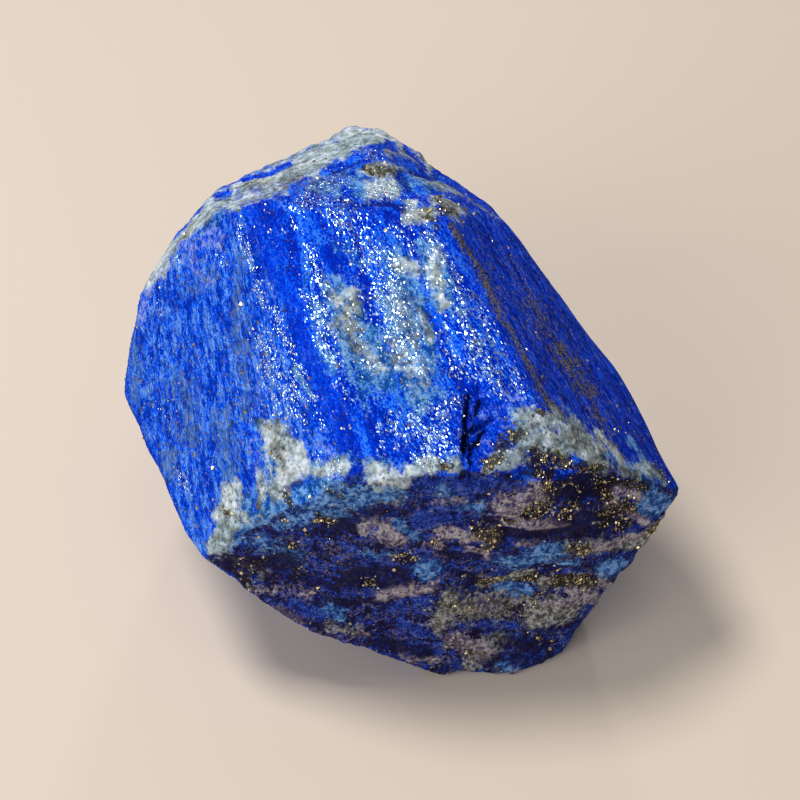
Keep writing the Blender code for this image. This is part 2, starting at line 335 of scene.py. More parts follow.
PALE_STROKES = dict(
    cap_left=(240, 184, 300, 172, 7, 1.1), cap_middle=(300, 166, 346, 147, 11, 1.2),
    cap_peak=(346, 140, 388, 133, 9, 1.2), cap_right=(392, 138, 428, 168, 6, 1),
    below_cap_brown=(368, 169, 402, 171, 8, 1), below_cap_white=(370, 188, 392, 186, 10, 1.1),
    below_cap_right=(410, 202, 414, 205, 7, 1), ledge_end=(410, 218, 430, 214, 8, 1),
    shoulder=(438, 196, 458, 212, 9, 1), shoulder_stripe=(432, 181, 470, 197, 3, 0.8),
    shoulder_outer=(468, 199, 498, 216, 4, 0.75), bevel_top=(212, 203, 196, 220, 8, 1),
    bevel_middle=(192, 226, 170, 247, 6, 1), bevel_low=(168, 252, 150, 280, 8, 0.95),
    bevel_inner=(216, 198, 236, 208, 5, 1), spot_top=(343, 298, 348, 314, 11, 0.75),
    spot_middle=(345, 320, 358, 345, 12, 0.72), spot_low=(360, 350, 376, 368, 9, 0.75),
    field_top=(396, 264, 418, 272, 7, 0.9), pale_right=(432, 260, 436, 285, 9, 0.78),
    pale_right_low=(438, 288, 446, 308, 6, 0.8), field_grey=(398, 345, 420, 385, 14, 0.6),
    field_light=(398, 300, 412, 335, 12, 0.6), white_left=(274, 432, 286, 468, 13, 1.1),
    white_streak=(286, 440, 304, 468, 8, 1.1), white_left_low=(292, 472, 276, 494, 9, 1.1),
    white_foot=(232, 496, 224, 520, 10, 1.15), white_foot_low=(230, 522, 218, 548, 9, 1.2),
    foot_upper=(240, 484, 236, 496, 7, 0.9), foot_side=(262, 492, 252, 516, 8, 0.85),
    rim_far_left=(320, 470, 340, 466, 8, 1), rim_left=(374, 474, 404, 480, 10, 1.1),
    rim_middle=(410, 470, 440, 466, 7, 1), rim_right=(440, 466, 454, 464, 6, 1),
    beside_crack=(484, 469, 502, 464, 6, 1), corner_left=(498, 462, 522, 450, 9, 1.1),
    corner_top=(526, 421, 550, 420, 11, 1.15), corner=(530, 438, 566, 446, 13, 1.15),
    corner_right=(570, 432, 592, 450, 12, 1.15), corner_end=(590, 454, 604, 468, 7, 1),
    foot_streak=(600, 431, 618, 455, 4.5, 1.1), foot_streak_low=(618, 455, 634, 478, 5, 1),
    foot_right=(640, 466, 654, 474, 6, 1), foot_end=(654, 468, 664, 482, 3, 0.9),
    cap_fold=(386, 152, 408, 164, 4, 0.9), cap_inner=(412, 172, 436, 184, 4, 0.6),
    spot_light=(352, 292, 359, 316, 5, 1.1), field_streak=(419, 312, 430, 342, 5, 0.8),
    white_gap=(258, 470, 268, 490, 5, 0.7), foot_ridge=(272, 486, 240, 520, 7, 0.8),
)

BROWN_STROKES = dict(
    cap_left=(250, 186, 300, 180, 6, 0.95), cap_right=(404, 150, 424, 168, 4, 0.7),
    cap_peak=(345, 134, 372, 132, 3, 0.5), below_cap=(368, 165, 398, 171, 6, 1),
    ledge_end=(408, 218, 424, 220, 5, 0.9), shoulder=(430, 190, 456, 212, 8, 1.1),
    shoulder_outer=(468, 199, 505, 220, 5, 1), bevel=(192, 228, 178, 240, 4, 0.9),
    bevel_inner=(214, 196, 226, 200, 3, 0.9), spot_top=(338, 296, 342, 312, 6, 0.7),
    spot_middle=(346, 316, 360, 350, 8, 0.9), pale_right=(436, 264, 444, 290, 4, 0.6),
    white_left=(272, 428, 280, 466, 7, 0.9), white_left_low=(282, 455, 290, 485, 6, 0.7),
    white_foot=(226, 500, 232, 514, 5, 0.6), foot_side=(258, 488, 258, 512, 5, 0.9),
    rim=(440, 466, 454, 466, 5, 0.9), corner_right=(568, 430, 596, 456, 8, 0.8),
    foot_streak=(602, 434, 632, 474, 5, 1), foot_right=(655, 466, 662, 478, 3, 1),
    cap_fold=(388, 152, 412, 166, 5, 1), field=(402, 340, 412, 352, 6, 0.5),
    corner_top=(530, 424, 560, 436, 7, 0.5),
)

TEAL_STROKES = dict(
    below_cap=(344, 172, 366, 192, 10, 0.7), around_spot=(338, 292, 368, 380, 16, 0.9),
    beside_spot=(372, 328, 386, 368, 7, 1), left_of_spot=(312, 285, 330, 370, 9, 0.6),
    below_spot=(358, 372, 388, 384, 9, 0.9), field_top=(392, 258, 416, 300, 9, 0.8),
    field=(395, 300, 420, 400, 16, 0.9), field_edge=(418, 298, 434, 362, 5, 1),
    pale_right=(424, 246, 446, 300, 10, 0.9), right_field=(458, 300, 476, 345, 7, 0.5),
    thin_low=(352, 385, 378, 440, 5, 0.35), rim_left=(302, 466, 344, 462, 7, 0.8),
    rim=(372, 462, 450, 458, 5, 0.4), bevel=(222, 212, 205, 228, 6, 0.6),
    white_left=(262, 425, 275, 480, 6, 0.6), foot=(250, 500, 240, 520, 8, 0.7),
    corner_foot=(600, 462, 640, 480, 8, 0.8), right_streak=(630, 440, 642, 458, 2.5, 0.8),
    shoulder=(410, 178, 440, 186, 6, 0.6), under_cap=(318, 186, 336, 192, 8, 0.7),
    cap_inner=(404, 180, 436, 184, 7, 0.7), ridge=(292, 368, 312, 395, 3, 0.9),
    upper_edge=(338, 242, 362, 262, 7, 0.6), rim_low=(265, 500, 300, 492, 8, 0.9),
    above_corner=(515, 415, 518, 440, 7, 0.7),
)

GREYED_STROKES = dict(
    near_ridge=(244, 250, 236, 300, 5, 0.6), near_ridge_middle=(236, 300, 240, 350, 7, 0.8),
    near_ridge_low=(244, 350, 250, 410, 7, 0.7), middle=(180, 380, 190, 440, 10, 0.7),
    low=(222, 420, 232, 470, 9, 0.7), edge=(134, 340, 136, 400, 5, 0.8),
    top=(212, 275, 190, 292, 6, 0.6), foot=(170, 455, 168, 475, 8, 0.8),
)

# Lavender: a paler tone of the rock, which on the lit left face is partly a painted sheen
LAVENDER_STROKES = dict(
    left_top=(214, 236, 200, 246, 8, 1), left_upper=(182, 246, 198, 270, 8, 0.8),
    left_middle=(212, 278, 200, 286, 6, 0.7), left_edge=(146, 290, 142, 325, 6, 0.9),
    left_low=(250, 440, 262, 475, 6, 0.6), left_streak=(262, 385, 258, 425, 5, 0.5),
    crazed_top=(484, 398, 512, 402, 9, 0.8), crazed=(488, 415, 508, 430, 11, 1),
    crazed_foot=(482, 440, 492, 456, 8, 1), below_spot=(366, 372, 384, 392, 5, 0.9),
    low_field=(398, 440, 400, 458, 6, 0.8), above_low_field=(440, 408, 456, 420, 6, 0.7),
    foot=(326, 446, 334, 460, 7, 0.7),
)

GLINT_STROKES = dict(
    ridge_top=(238, 221, 247, 247, 2.8, 2.6), ridge_upper=(247, 248, 257, 280, 2.4, 2.4),
    ridge_middle=(256, 288, 266, 305, 3, 2), ridge_line=(267, 305, 279, 318, 2.4, 2.4),
    ridge_low=(276, 322, 292, 352, 3, 2), ridge_foot=(292, 352, 312, 400, 2.4, 1.2),
    strip=(262, 332, 272, 365, 6, 1.2), strip_low=(272, 370, 290, 396, 9, 1.6),
    strip_foot=(275, 402, 296, 414, 8, 0.9), strip_end=(306, 395, 322, 430, 4, 0.7),
    foot=(318, 460, 334, 470, 5, 1), white_left=(285, 418, 296, 432, 4, 0.6),
    first_line=(292, 214, 298, 230, 2.5, 1.1), second_line=(308, 252, 327, 290, 5, 1.2),
    third_line=(304, 298, 326, 312, 5, 0.9), fourth_line=(318, 318, 336, 332, 5, 0.9),
    fifth_line=(320, 335, 334, 362, 5, 1), sixth_line=(340, 385, 352, 398, 4, 0.8),
    below_cap=(310, 190, 345, 178, 7, 1.2), top=(318, 196, 340, 208, 7, 1.1),
    top_right=(332, 210, 348, 228, 7, 0.9), upper_field=(348, 205, 378, 252, 8, 0.7),
    upper_right=(398, 225, 408, 250, 5, 0.7), field_top=(362, 246, 390, 290, 8, 0.9),
    field_middle=(388, 258, 402, 300, 9, 1), field=(388, 296, 406, 332, 13, 1.4),
    field_low=(402, 322, 414, 345, 8, 1.1), field_foot=(394, 350, 428, 368, 9, 0.7),
    spot=(352, 325, 362, 345, 6, 0.7), spot_foot=(358, 362, 372, 372, 6, 0.8),
    pale_right=(426, 232, 446, 262, 6, 1), pale_middle=(424, 270, 436, 285, 6, 0.6),
    right_first=(453, 270, 468, 310, 5, 1), right_second=(470, 295, 482, 310, 5, 1),
    right_third=(458, 312, 478, 348, 6, 1.1), right_fourth=(482, 312, 496, 345, 5, 1),
    right_fifth=(500, 345, 524, 390, 3.5, 1), right_low=(474, 352, 502, 386, 9, 1.3),
    right_end=(500, 380, 522, 394, 4, 1), left_of_right=(443, 330, 454, 368, 4.5, 0.9),
    between=(448, 370, 476, 372, 6, 0.8), low_top=(446, 404, 462, 400, 6, 1.3),
    low_upper=(424, 410, 446, 414, 6, 0.8), low_field=(412, 428, 456, 442, 10, 1.2),
    low_foot=(425, 450, 456, 456, 6, 1.2), low_left=(388, 414, 400, 436, 5, 1),
    low_far_left=(380, 425, 384, 450, 3, 0.9), rim=(414, 460, 430, 464, 5, 0.9),
    cap=(316, 150, 326, 152, 3, 1), cap_left=(288, 174, 304, 174, 4, 1.2),
    vein=(360, 146, 376, 156, 4, 1.2), below_cap_white=(372, 196, 390, 188, 7, 1.3),
    ledge_end=(402, 198, 412, 212, 5, 0.8), left_spark=(172, 250, 177, 262, 2.2, 1.6),
    left_sparks=(158, 298, 161, 316, 1.6, 0.9), left_upper=(220, 246, 222, 262, 3, 0.7),
    left_foot=(178, 474, 190, 494, 3, 1.2), below_cap_left=(300, 205, 345, 200, 5, 1.1),
)

FLECK_STROKES = dict(
    top=(258, 200, 290, 262, 12, 0.6), below_cap=(302, 192, 314, 202, 5, 1.5),
    upper_field=(340, 225, 368, 262, 10, 0.6), deep_low=(325, 385, 345, 425, 10, 0.8),
    below_spot=(384, 345, 398, 378, 7, 1), spot=(345, 310, 360, 350, 8, 0.7),
    left_low=(236, 392, 246, 420, 6, 1), left_middle=(150, 395, 175, 425, 10, 0.7),
    left_foot=(212, 478, 225, 510, 7, 0.7), ridge=(262, 290, 300, 330, 4, 0.8),
    strip_line=(304, 425, 318, 462, 3, 1.5), right_field=(430, 310, 445, 350, 6, 0.5),
)

DEEP_STROKES = dict(
    band_top=(250, 205, 275, 270, 14, 1), band=(275, 270, 312, 360, 11, 1),
    band_low=(312, 360, 345, 435, 13, 1), band_foot=(340, 440, 355, 470, 9, 1),
    patch=(330, 255, 346, 285, 7, 1), below_cap=(312, 205, 320, 225, 5, 0.8),
    right_gap=(432, 316, 440, 340, 6, 0.9), right_edge=(470, 275, 540, 405, 4, 0.7),
    low_gap=(362, 415, 376, 455, 7, 0.8), rim_gap=(348, 474, 358, 478, 6, 1),
    crack_left=(458, 410, 460, 460, 3, 0.8), ridge_side=(254, 232, 268, 285, 6, 1),
)

BLUE_STROKES = dict(
    vein=(322, 172, 346, 162, 2.2, 1.3), vein_middle=(346, 160, 366, 150, 2.2, 1.3),
    vein_end=(366, 148, 392, 144, 2.4, 1.3), vein_fork=(358, 163, 374, 153, 2.4, 1.2),
    cap_notch=(290, 190, 306, 182, 2.5, 0.8), outer_left=(222, 184, 268, 173, 1.8, 1.1),
    outer_middle=(270, 172, 290, 163, 2, 1.1), outer_right=(404, 146, 424, 166, 1.8, 1),
    right_band=(398, 160, 424, 172, 2.6, 1.2), right_band_low=(402, 176, 414, 192, 5, 1.1),
    shoulder_line=(430, 190, 470, 206, 2.2, 0.9), shoulder_edge=(440, 176, 500, 214, 2.2, 0.9),
    bevel_outer=(200, 206, 170, 240, 1.6, 1.1), bevel_cut=(216, 196, 228, 192, 2.6, 1.1),
    foot_wedge=(242, 466, 254, 496, 3.2, 1.2), foot_wedge_low=(248, 500, 252, 512, 4, 0.9),
    vein_drop=(388, 143, 398, 150, 1.4, 1.1), sky=(342, 172, 356, 192, 10, 1.1),
)

# Lines of painted shade along ledges, steps, under the veins and at the top of the crack
SHADE_LINE_STROKES = dict(
    ledge=(338, 199, 366, 204, 1.5, 1), ledge_right=(368, 203, 404, 206, 1.8, 1),
    right_of_ledge=(398, 172, 408, 184, 4, 0.9), vein_under=(326, 174, 350, 163, 1.4, 0.9),
    vein_under_right=(350, 162, 372, 155, 1.4, 0.9), shoulder=(410, 170, 436, 178, 2.5, 0.9),
    front_rim=(284, 490, 300, 482, 4, 0.9), ledge_low=(388, 200, 404, 212, 3, 0.8),
    crack_top=(477, 386, 477, 402, 2.4, 0.9),
)

OCHRE_STROKES = dict(
    line_top=(451, 225, 478, 268, 2.6, 1.2), line_upper=(478, 268, 500, 312, 3.2, 1.2),
    line_middle=(500, 312, 522, 352, 3, 1.2), line_low=(522, 352, 548, 402, 3, 1.2),
    line_foot=(548, 402, 562, 418, 3, 1.2), field_top=(512, 258, 532, 302, 6, 0.5),
    field_upper=(532, 302, 556, 345, 9, 0.75), field=(556, 345, 588, 392, 9, 0.95),
    field_low=(584, 390, 606, 430, 7, 0.7), inner=(488, 268, 530, 350, 3, 0.3),
)

STEEL_STROKES = dict(
    under_foot=(234, 545, 262, 514, 6, 0.9), sky_streak=(250, 524, 280, 506, 6, 1.3),
    band_left=(286, 500, 320, 486, 9, 1.2), band=(316, 498, 360, 496, 13, 1.1),
    band_right=(360, 496, 404, 494, 8, 1), rim_glow=(362, 487, 406, 489, 4, 1.2),
    left_low=(250, 540, 300, 556, 9, 0.7), upper_spot=(440, 490, 452, 498, 6, 0.9),
    small_spot=(458, 503, 480, 506, 7, 0.9), centre_light=(420, 567, 434, 568, 7, 1.3),
    centre_dot=(398, 522, 412, 534, 7, 1), lavender_streak=(358, 554, 396, 556, 4, 0.9),
    tip=(650, 504, 662, 501, 7, 1.5), tip_slate=(636, 505, 650, 490, 8, 1),
    right_light=(602, 571, 618, 562, 6, 1.4), middle_right=(530, 556, 560, 548, 7, 1.2),
    middle=(500, 560, 524, 564, 7, 0.9), middle_low=(500, 588, 524, 587, 6, 1),
    middle_thin=(562, 562, 578, 562, 4, 1.1), low_left=(328, 606, 338, 617, 8, 0.9),
    low_middle=(462, 600, 480, 602, 6, 0.8), bottom=(498, 666, 516, 668, 6, 0.9),
    under_band=(280, 522, 344, 514, 10, 0.85),
)

ROYAL_STROKES = dict(
    under_rim=(398, 486, 462, 482, 7, 1.1), under_crack=(476, 484, 528, 478, 8, 1),
    hollow_rim=(562, 474, 602, 480, 4, 1.3), upper=(418, 516, 442, 522, 8, 0.9),
    low_left=(288, 608, 318, 612, 7, 1.2), low_middle=(390, 606, 426, 600, 8, 0.8),
    middle=(478, 562, 502, 568, 6, 0.7), right_band=(626, 533, 655, 514, 5, 1.2),
    right_foot=(592, 612, 566, 644, 10, 0.9), dot=(501, 622, 506, 624, 3.5, 1.2),
    dot_right=(528, 630, 534, 631, 3.5, 1.1), dot_left=(444, 646, 450, 652, 4, 0.8),
    lens_foot=(582, 600, 600, 591, 4, 0.8), bottom_middle=(400, 630, 440, 640, 7, 0.6),
    bottom=(455, 664, 560, 655, 5, 0.7), hollow=(580, 500, 596, 500, 4, 0.9),
    beside_moss=(594, 550, 600, 552, 5, 1), low_blue=(486, 620, 500, 638, 4, 1),
    deep_knot=(550, 510, 560, 520, 5, 1),
)

PINK_STROKES = dict(
    upper=(506, 506, 544, 494, 10, 1.3), upper_low=(508, 521, 560, 524, 6, 1.2),
    upper_left=(438, 498, 462, 500, 5, 0.8), middle=(440, 533, 496, 536, 6, 1.2),
    middle_low=(468, 546, 486, 551, 5, 1), left=(366, 524, 396, 536, 9, 1.1),
    left_low=(380, 596, 432, 584, 6, 1.1), far_left=(250, 588, 312, 594, 5, 0.7),
    left_edge=(240, 596, 300, 620, 4, 1), bottom_left=(334, 628, 366, 638, 4, 0.6),
    bottom_edge=(396, 656, 442, 661, 2.5, 0.9), small=(430, 540, 441, 546, 4, 1),
    lens=(542, 602, 598, 598, 4, 1.2), lens_top=(570, 588, 592, 596, 5, 1.4),
    low=(450, 640, 486, 650, 9, 1), right_edge=(594, 580, 612, 588, 4, 1.1),
    low_middle=(478, 601, 502, 606, 8, 0.8), right_band=(594, 546, 656, 527, 3.5, 1),
    hollow_right=(607, 500, 618, 490, 7, 1.3), hollow_right_end=(632, 490, 638, 494, 5, 1.3),
    tip_low=(628, 512, 648, 520, 6, 0.9), upper_rim=(534, 484, 546, 496, 6, 1.1),
    small_middle=(518, 546, 530, 544, 4, 0.9),
)

MOSS_STROKES = dict(
    low_left=(450, 598, 440, 626, 9, 1), low=(450, 606, 500, 604, 13, 1),
    low_right=(536, 612, 566, 606, 13, 1.2), bottom=(500, 640, 470, 660, 9, 0.9),
    bottom_edge=(430, 676, 522, 674, 4, 0.7), knot=(504, 508, 513, 513, 5, 0.8),
    line=(478, 582, 530, 574, 3.5, 1.1), line_upper=(566, 546, 592, 546, 6, 1),
    left=(326, 624, 362, 632, 6, 0.6), middle=(516, 602, 538, 594, 6, 0.8),
    rim=(372, 504, 402, 500, 3, 0.6), line_right=(540, 580, 600, 580, 5, 1.1),
    edge=(600, 544, 650, 542, 5, 1.1), tip_edge=(648, 534, 668, 516, 5, 1.2),
    left_dark=(235, 560, 262, 575, 8, 0.6), knot_left=(474, 530, 490, 540, 5, 0.8),
)

# Black patches of the broken front: partly dark rock, partly painted shade in its hollows and under its edges
BLACK_STROKES = dict(
    knot_left=(318, 528, 350, 524, 6, 0.9), under_band=(340, 515, 412, 510, 4, 0.75),
    left=(226, 566, 292, 564, 9, 1.1), middle=(342, 581, 402, 577, 9, 1.1),
    low=(318, 602, 382, 603, 4, 0.9), centre=(444, 553, 478, 560, 4, 0.9),
    left_edge=(262, 604, 322, 627, 3, 0.8), bottom=(366, 644, 428, 652, 5, 1),
    hollow=(556, 492, 600, 492, 9, 1.3), hollow_low=(558, 519, 612, 514, 5, 1),
    band=(500, 536, 602, 530, 6, 1.2), upper=(488, 521, 502, 526, 4, 0.9),
    left_low=(298, 580, 332, 586, 6, 0.7), line=(452, 570, 476, 580, 3, 0.9),
    right_line=(530, 568, 600, 566, 2.5, 0.7), under_lens=(540, 632, 580, 622, 5, 0.6),
    corner_hollow=(534, 464, 548, 470, 8, 1.1), corner_shade=(560, 476, 600, 478, 5, 1),
    under_corner=(510, 478, 530, 472, 6, 0.8), low_right=(505, 640, 545, 650, 9, 0.8),
    bottom_right=(484, 656, 556, 660, 5, 0.8),
)

PYRITE_STROKES = dict(
    corner=(536, 456, 566, 462, 7, 1.1), corner_right=(560, 466, 604, 469, 3.5, 1.1),
    corner_low=(540, 470, 550, 488, 6, 0.9), corner_left=(500, 446, 518, 434, 5, 1),
    beside_crack=(486, 466, 500, 456, 5, 0.9), knot=(531, 512, 543, 508, 7, 1.2),
    beside_knot=(566, 514, 576, 506, 5, 1), hollow=(560, 484, 582, 490, 2.5, 0.5),
    hollow_right=(600, 480, 606, 500, 5, 1), right_knot=(604, 512, 630, 506, 6, 1.1),
    right_knot_low=(600, 524, 625, 524, 5, 0.7), right_rim=(608, 480, 645, 486, 4, 0.9),
    upper=(478, 530, 492, 536, 6, 1.1), upper_low=(478, 548, 494, 546, 3, 0.9),
    upper_right=(504, 517, 511, 519, 2.5, 1), small=(430, 540, 435, 543, 3, 0.8),
    low_left=(443, 603, 450, 606, 3, 0.8), low=(461, 612, 472, 609, 3, 0.6),
    line_left=(478, 580, 498, 578, 3, 0.7), line_middle=(518, 578, 536, 576, 3, 1),
    line_right=(555, 580, 592, 580, 5, 1.1), above_line=(572, 549, 588, 546, 4, 0.8),
    bottom=(524, 632, 542, 640, 3, 0.6), middle=(394, 556, 411, 557, 4, 0.6),
    band=(330, 490, 341, 494, 3, 0.7), band_left=(284, 494, 289, 503, 3, 0.9),
    left_knot=(319, 518, 331, 521, 4, 0.9), left_line=(274, 515, 286, 522, 2.5, 0.6),
    left_upper=(303, 529, 307, 539, 2, 0.7), left_middle=(289, 545, 298, 547, 2.5, 0.8),
    left_foot=(237, 575, 251, 584, 4, 0.7), left_foot_right=(254, 569, 266, 559, 3, 0.6),
    left_low=(294, 573, 306, 572, 3, 0.6), dark_middle=(364, 582, 376, 588, 3, 0.6),
    dark_low=(359, 597, 364, 601, 2, 0.7), ledge_end=(424, 213, 433, 219, 4, 0.7),
    shoulder=(436, 202, 446, 212, 5, 0.6), below_cap=(364, 168, 384, 175, 2.5, 0.6),
    below_cap_right=(380, 166, 396, 172, 3, 0.5), rim=(440, 464, 454, 466, 3, 0.7),
    tip=(655, 467, 663, 479, 3, 0.6), foot=(222, 508, 228, 516, 3, 0.5),
    white_left=(276, 455, 286, 462, 3, 0.5), tip_edge=(650, 530, 660, 522, 4, 0.8),
    moss=(500, 612, 540, 600, 9, 0.4), low_moss=(450, 640, 470, 650, 6, 0.5),
    above_corner=(538, 411, 544, 412, 3, 1.1),
)
CRAZED_STROKES = dict(beside_crack=(486, 408, 500, 440, 18, 1))
CRACK_STROKES = dict(around=(470, 395, 472, 476, 30, 1.5))


def picture_place(place):
    """The pixel that shows each place: its distances right and down, over its depth, times the focal
    length, from the middle of the picture."""
    depth = VIEW_DISTANCE - place @ outward(0, VIEW_SLOPE)
    sideways = np.stack([place[:, 0], -(place @ outward(180, 90 - VIEW_SLOPE))], 1)
    return VIEW_MIDDLE_PIXEL + VIEW_FOCAL_PIXELS * sideways / depth[:, None]


def brushed(strokes, picture):
    """The strongest of several strokes at each pixel: a stroke fades from its strength with e to the power
    of minus the square of the distance from its line, counted in its half widths."""
    field = np.zeros(len(picture))
    for x, y, to_x, to_y, half_width, strength in strokes.values():
        away = distance_to_line(picture, [(x, y), (to_x, to_y)]) / (STROKE_SPREAD * half_width)
        field = np.maximum(field, strength * np.exp(-away ** 2))
    return field * seen


def layers(place, seed):
    """Noise in three layers, each half as large and half as strong as the one before; about -1 to 1."""
    return noise(place, seed) + 0.5 * noise(place * 2, seed + 1) + 0.25 * noise(place * 4, seed + 2)


def keep(name, values):
    """Store one number from 0 to 1 for each point of the stone, for its material to read."""
    attribute = stone.data.attributes.new(name, "FLOAT", "POINT")
    attribute.data.foreach_set("value", np.clip(values, 0, 1).astype(np.float32))


# Strokes wander a little off their lines, sharp ones less, and fade out where a face turns away from the
# photograph. Past there, on hidden rock, the same minerals lie in patches of noise.
WANDER = 0.9
SHARP_WANDER = 0.35
FACE_WANDER = 1.3
FACE_BLEND = 1.0
SEEN_FACING = (0.0, 0.16)
HIDDEN_FACING = (-0.06, 0.10)

# Where the rock counts as broken across the grain: how far it turns, how little of it is a top face, and a
# noise that frays its border on hidden sides. Then where the calcite cap and hidden calcite begin and are
# full, and how strong the cap is, and the film of calcite on the upper left. Then where hidden pyrite
# begins and is full, and how strong it is.
BROKEN_CROSSING = (0.25, 0.75)
TOP_SHARE = (0.3, 0.6)
HIDDEN_BORDER = (-0.15, 0.25)
CAP_BORDER = (-0.45, 0.15)
HIDDEN_CALCITE = (0.15, 0.6)
CAP_STRENGTH = 0.75
FILM_STRENGTH = 0.3
HIDDEN_PYRITE = (0.55, 1.0)
HIDDEN_PYRITE_STRENGTH = 0.7

wander = np.stack([noise(places / 5, seed) + 0.6 * noise(places / 2, seed + 10) for seed in (31, 32, 33)], 1)
picture = picture_place(places + wander * WANDER)
sharp_picture = picture_place(places + wander * SHARP_WANDER)
facing = look @ outward(0, VIEW_SLOPE)
seen = ramp(*SEEN_FACING, facing)
hidden = 1 - ramp(*HIDDEN_FACING, facing)
strayed = places + wander * FACE_WANDER
strayed /= np.linalg.norm(strayed, axis=1)[:, None]
_, share = soft_nearest(surface_reach(strayed)[0], FACE_BLEND)
on_face = {name: share[:, index] for index, name in enumerate(FACES)}
top = sum(on_face[name] for name in (
    "cap", "cap_left", "cap_right", "cap_back", "top_step", "shoulder", "upper_left", "corner"))
grain = grain_places(places)
drawn_out = layers(grain / (9, 28, 9), 34)
blotches = layers(places / (9, 9, 6), 40)
clumps = layers(places / (7, 7, 4.5), 44)
knots = layers(places / (8, 8, 6), 48)
frayed = 1 - hidden * ramp(*HIDDEN_BORDER, knots)
broken = ramp(*BROKEN_CROSSING, crossing * (1 - ramp(*TOP_SHARE, top)) * frayed)
unbroken = hidden * (1 - broken)

# Each mineral, with the black patches partly painted shade and the lavender partly a painted sheen: its
# strokes, where they are drawn, and on which hidden rock it lies, how strongly, and between which values of
# which noise it sets in
MINERALS = {
    "brown": (BROWN_STROKES, picture, hidden, 1, 0.0, 0.6, blotches),
    "teal": (TEAL_STROKES, picture, unbroken, 1, 0.0, 0.5, drawn_out),
    "greyed": (GREYED_STROKES, picture, unbroken, 1, 0.1, 0.6, clumps),
    "lavender": (LAVENDER_STROKES, picture, unbroken, 1, 0.3, 0.8, knots),
    "glint": (GLINT_STROKES, sharp_picture, unbroken, 0.8, 0.1, 0.7, -drawn_out),
    "fleck": (FLECK_STROKES, picture, unbroken, 0.8, 0.2, 0.8, -clumps),
    "ochre": (OCHRE_STROKES, sharp_picture, unbroken, 0.8, 0.3, 0.8, blotches),
    "steel": (STEEL_STROKES, picture, hidden, 1, 0.2, 0.7, blotches),
    "royal": (ROYAL_STROKES, picture, hidden, 1, 0.15, 0.6, -blotches),
    "pink": (PINK_STROKES, picture, hidden, 1, 0.25, 0.7, clumps),
    "moss": (MOSS_STROKES, picture, hidden, 1, 0.3, 0.75, -clumps),
    "black": (BLACK_STROKES, picture, hidden, 1, 0.3, 0.7, knots),
}
shown = {name: brushed(strokes, drawn_on) for name, (strokes, drawn_on, *_) in MINERALS.items()}
shown["teal"] = np.maximum(shown["teal"], shown["steel"])
vein = np.clip(brushed(BLUE_STROKES, sharp_picture), 0, 1)
dark_line = brushed(SHADE_LINE_STROKES, sharp_picture)
capped = CAP_STRENGTH * (on_face["cap"] + on_face["cap_left"] * ramp(*CAP_BORDER, drawn_out))
pale = np.maximum(brushed(PALE_STROKES, picture), capped + FILM_STRENGTH * on_face["upper_left"])
pale = np.maximum(pale, ramp(*HIDDEN_CALCITE, drawn_out) * unbroken) * (1 - vein)

# Calcite is a crust with relief of its own, the paler minerals of the broken rock stand proud by these
# heights and the black patches lie deep, and the lines of painted shade and the veins are grooves
CRUST = [(0.22, 1.7, 54), (0.14, 1.1, 55)]
PROUD = {"pink": 0.35, "moss": 0.30, "steel": 0.25, "black": -0.45}
LINE_DEPTH = 0.45
VEIN_DEPTH = 0.25
lumpy = pale * sum(relief(places, *crust) for crust in CRUST)
lumpy += broken * sum(rise * shown[name] for name, rise in PROUD.items())
places += look * (lumpy - LINE_DEPTH * dark_line - VEIN_DEPTH * vein)[:, None]
places[:, 2] = np.maximum(places[:, 2], -REST_DEPTH)

stone = add_piece("lapis_stone", (places + HEART) * MM, quads)
stone.data.shade_smooth()
for name, (_, _, rock, strength, start, full, patches) in MINERALS.items():
    keep(name, np.maximum(shown[name], strength * ramp(start, full, patches) * rock))
pyrite = HIDDEN_PYRITE_STRENGTH * ramp(*HIDDEN_PYRITE, layers(places / 6, 52)) * hidden
pyrite = np.maximum(brushed(PYRITE_STROKES, sharp_picture), pyrite)
keep("pyrite", pyrite)
keep("pale", pale)
keep("dark_line", dark_line)
keep("deep", brushed(DEEP_STROKES, picture))
keep("crazed", brushed(CRAZED_STROKES, picture))
keep("crack_here", brushed(CRACK_STROKES, picture))
keep("broken", broken)
keep("left_side", on_face["left"] + on_face["upper_left"] + 0.6 * on_face["left_ridge"] + on_face["left_low"])
keep("right_side", sum(on_face[name] for name in ("right", "right_back", "right_back_low"))
     + 0.4 * on_face["shoulder"])

# Broad noises for the material: the places they are read at, the lengths of their patches, and a seed
PATTERNS = {
    "flow": (grain + wander * 0.8, (2.6, 20, 2.6), 60),
    "cloud": (places, 5, 64),
    "mottle": (places + wander, (4.2, 4.2, 2.4), 68),
    "tone": (places + wander, (5, 5, 2.6), 72),
    "streaks": (grain + wander * 0.5, (1.8, 7, 1.8), 76),
}
for name, (where, lengths, seed) in PATTERNS.items():
    keep(name, 0.5 + 0.5 * layers(where / lengths, seed))


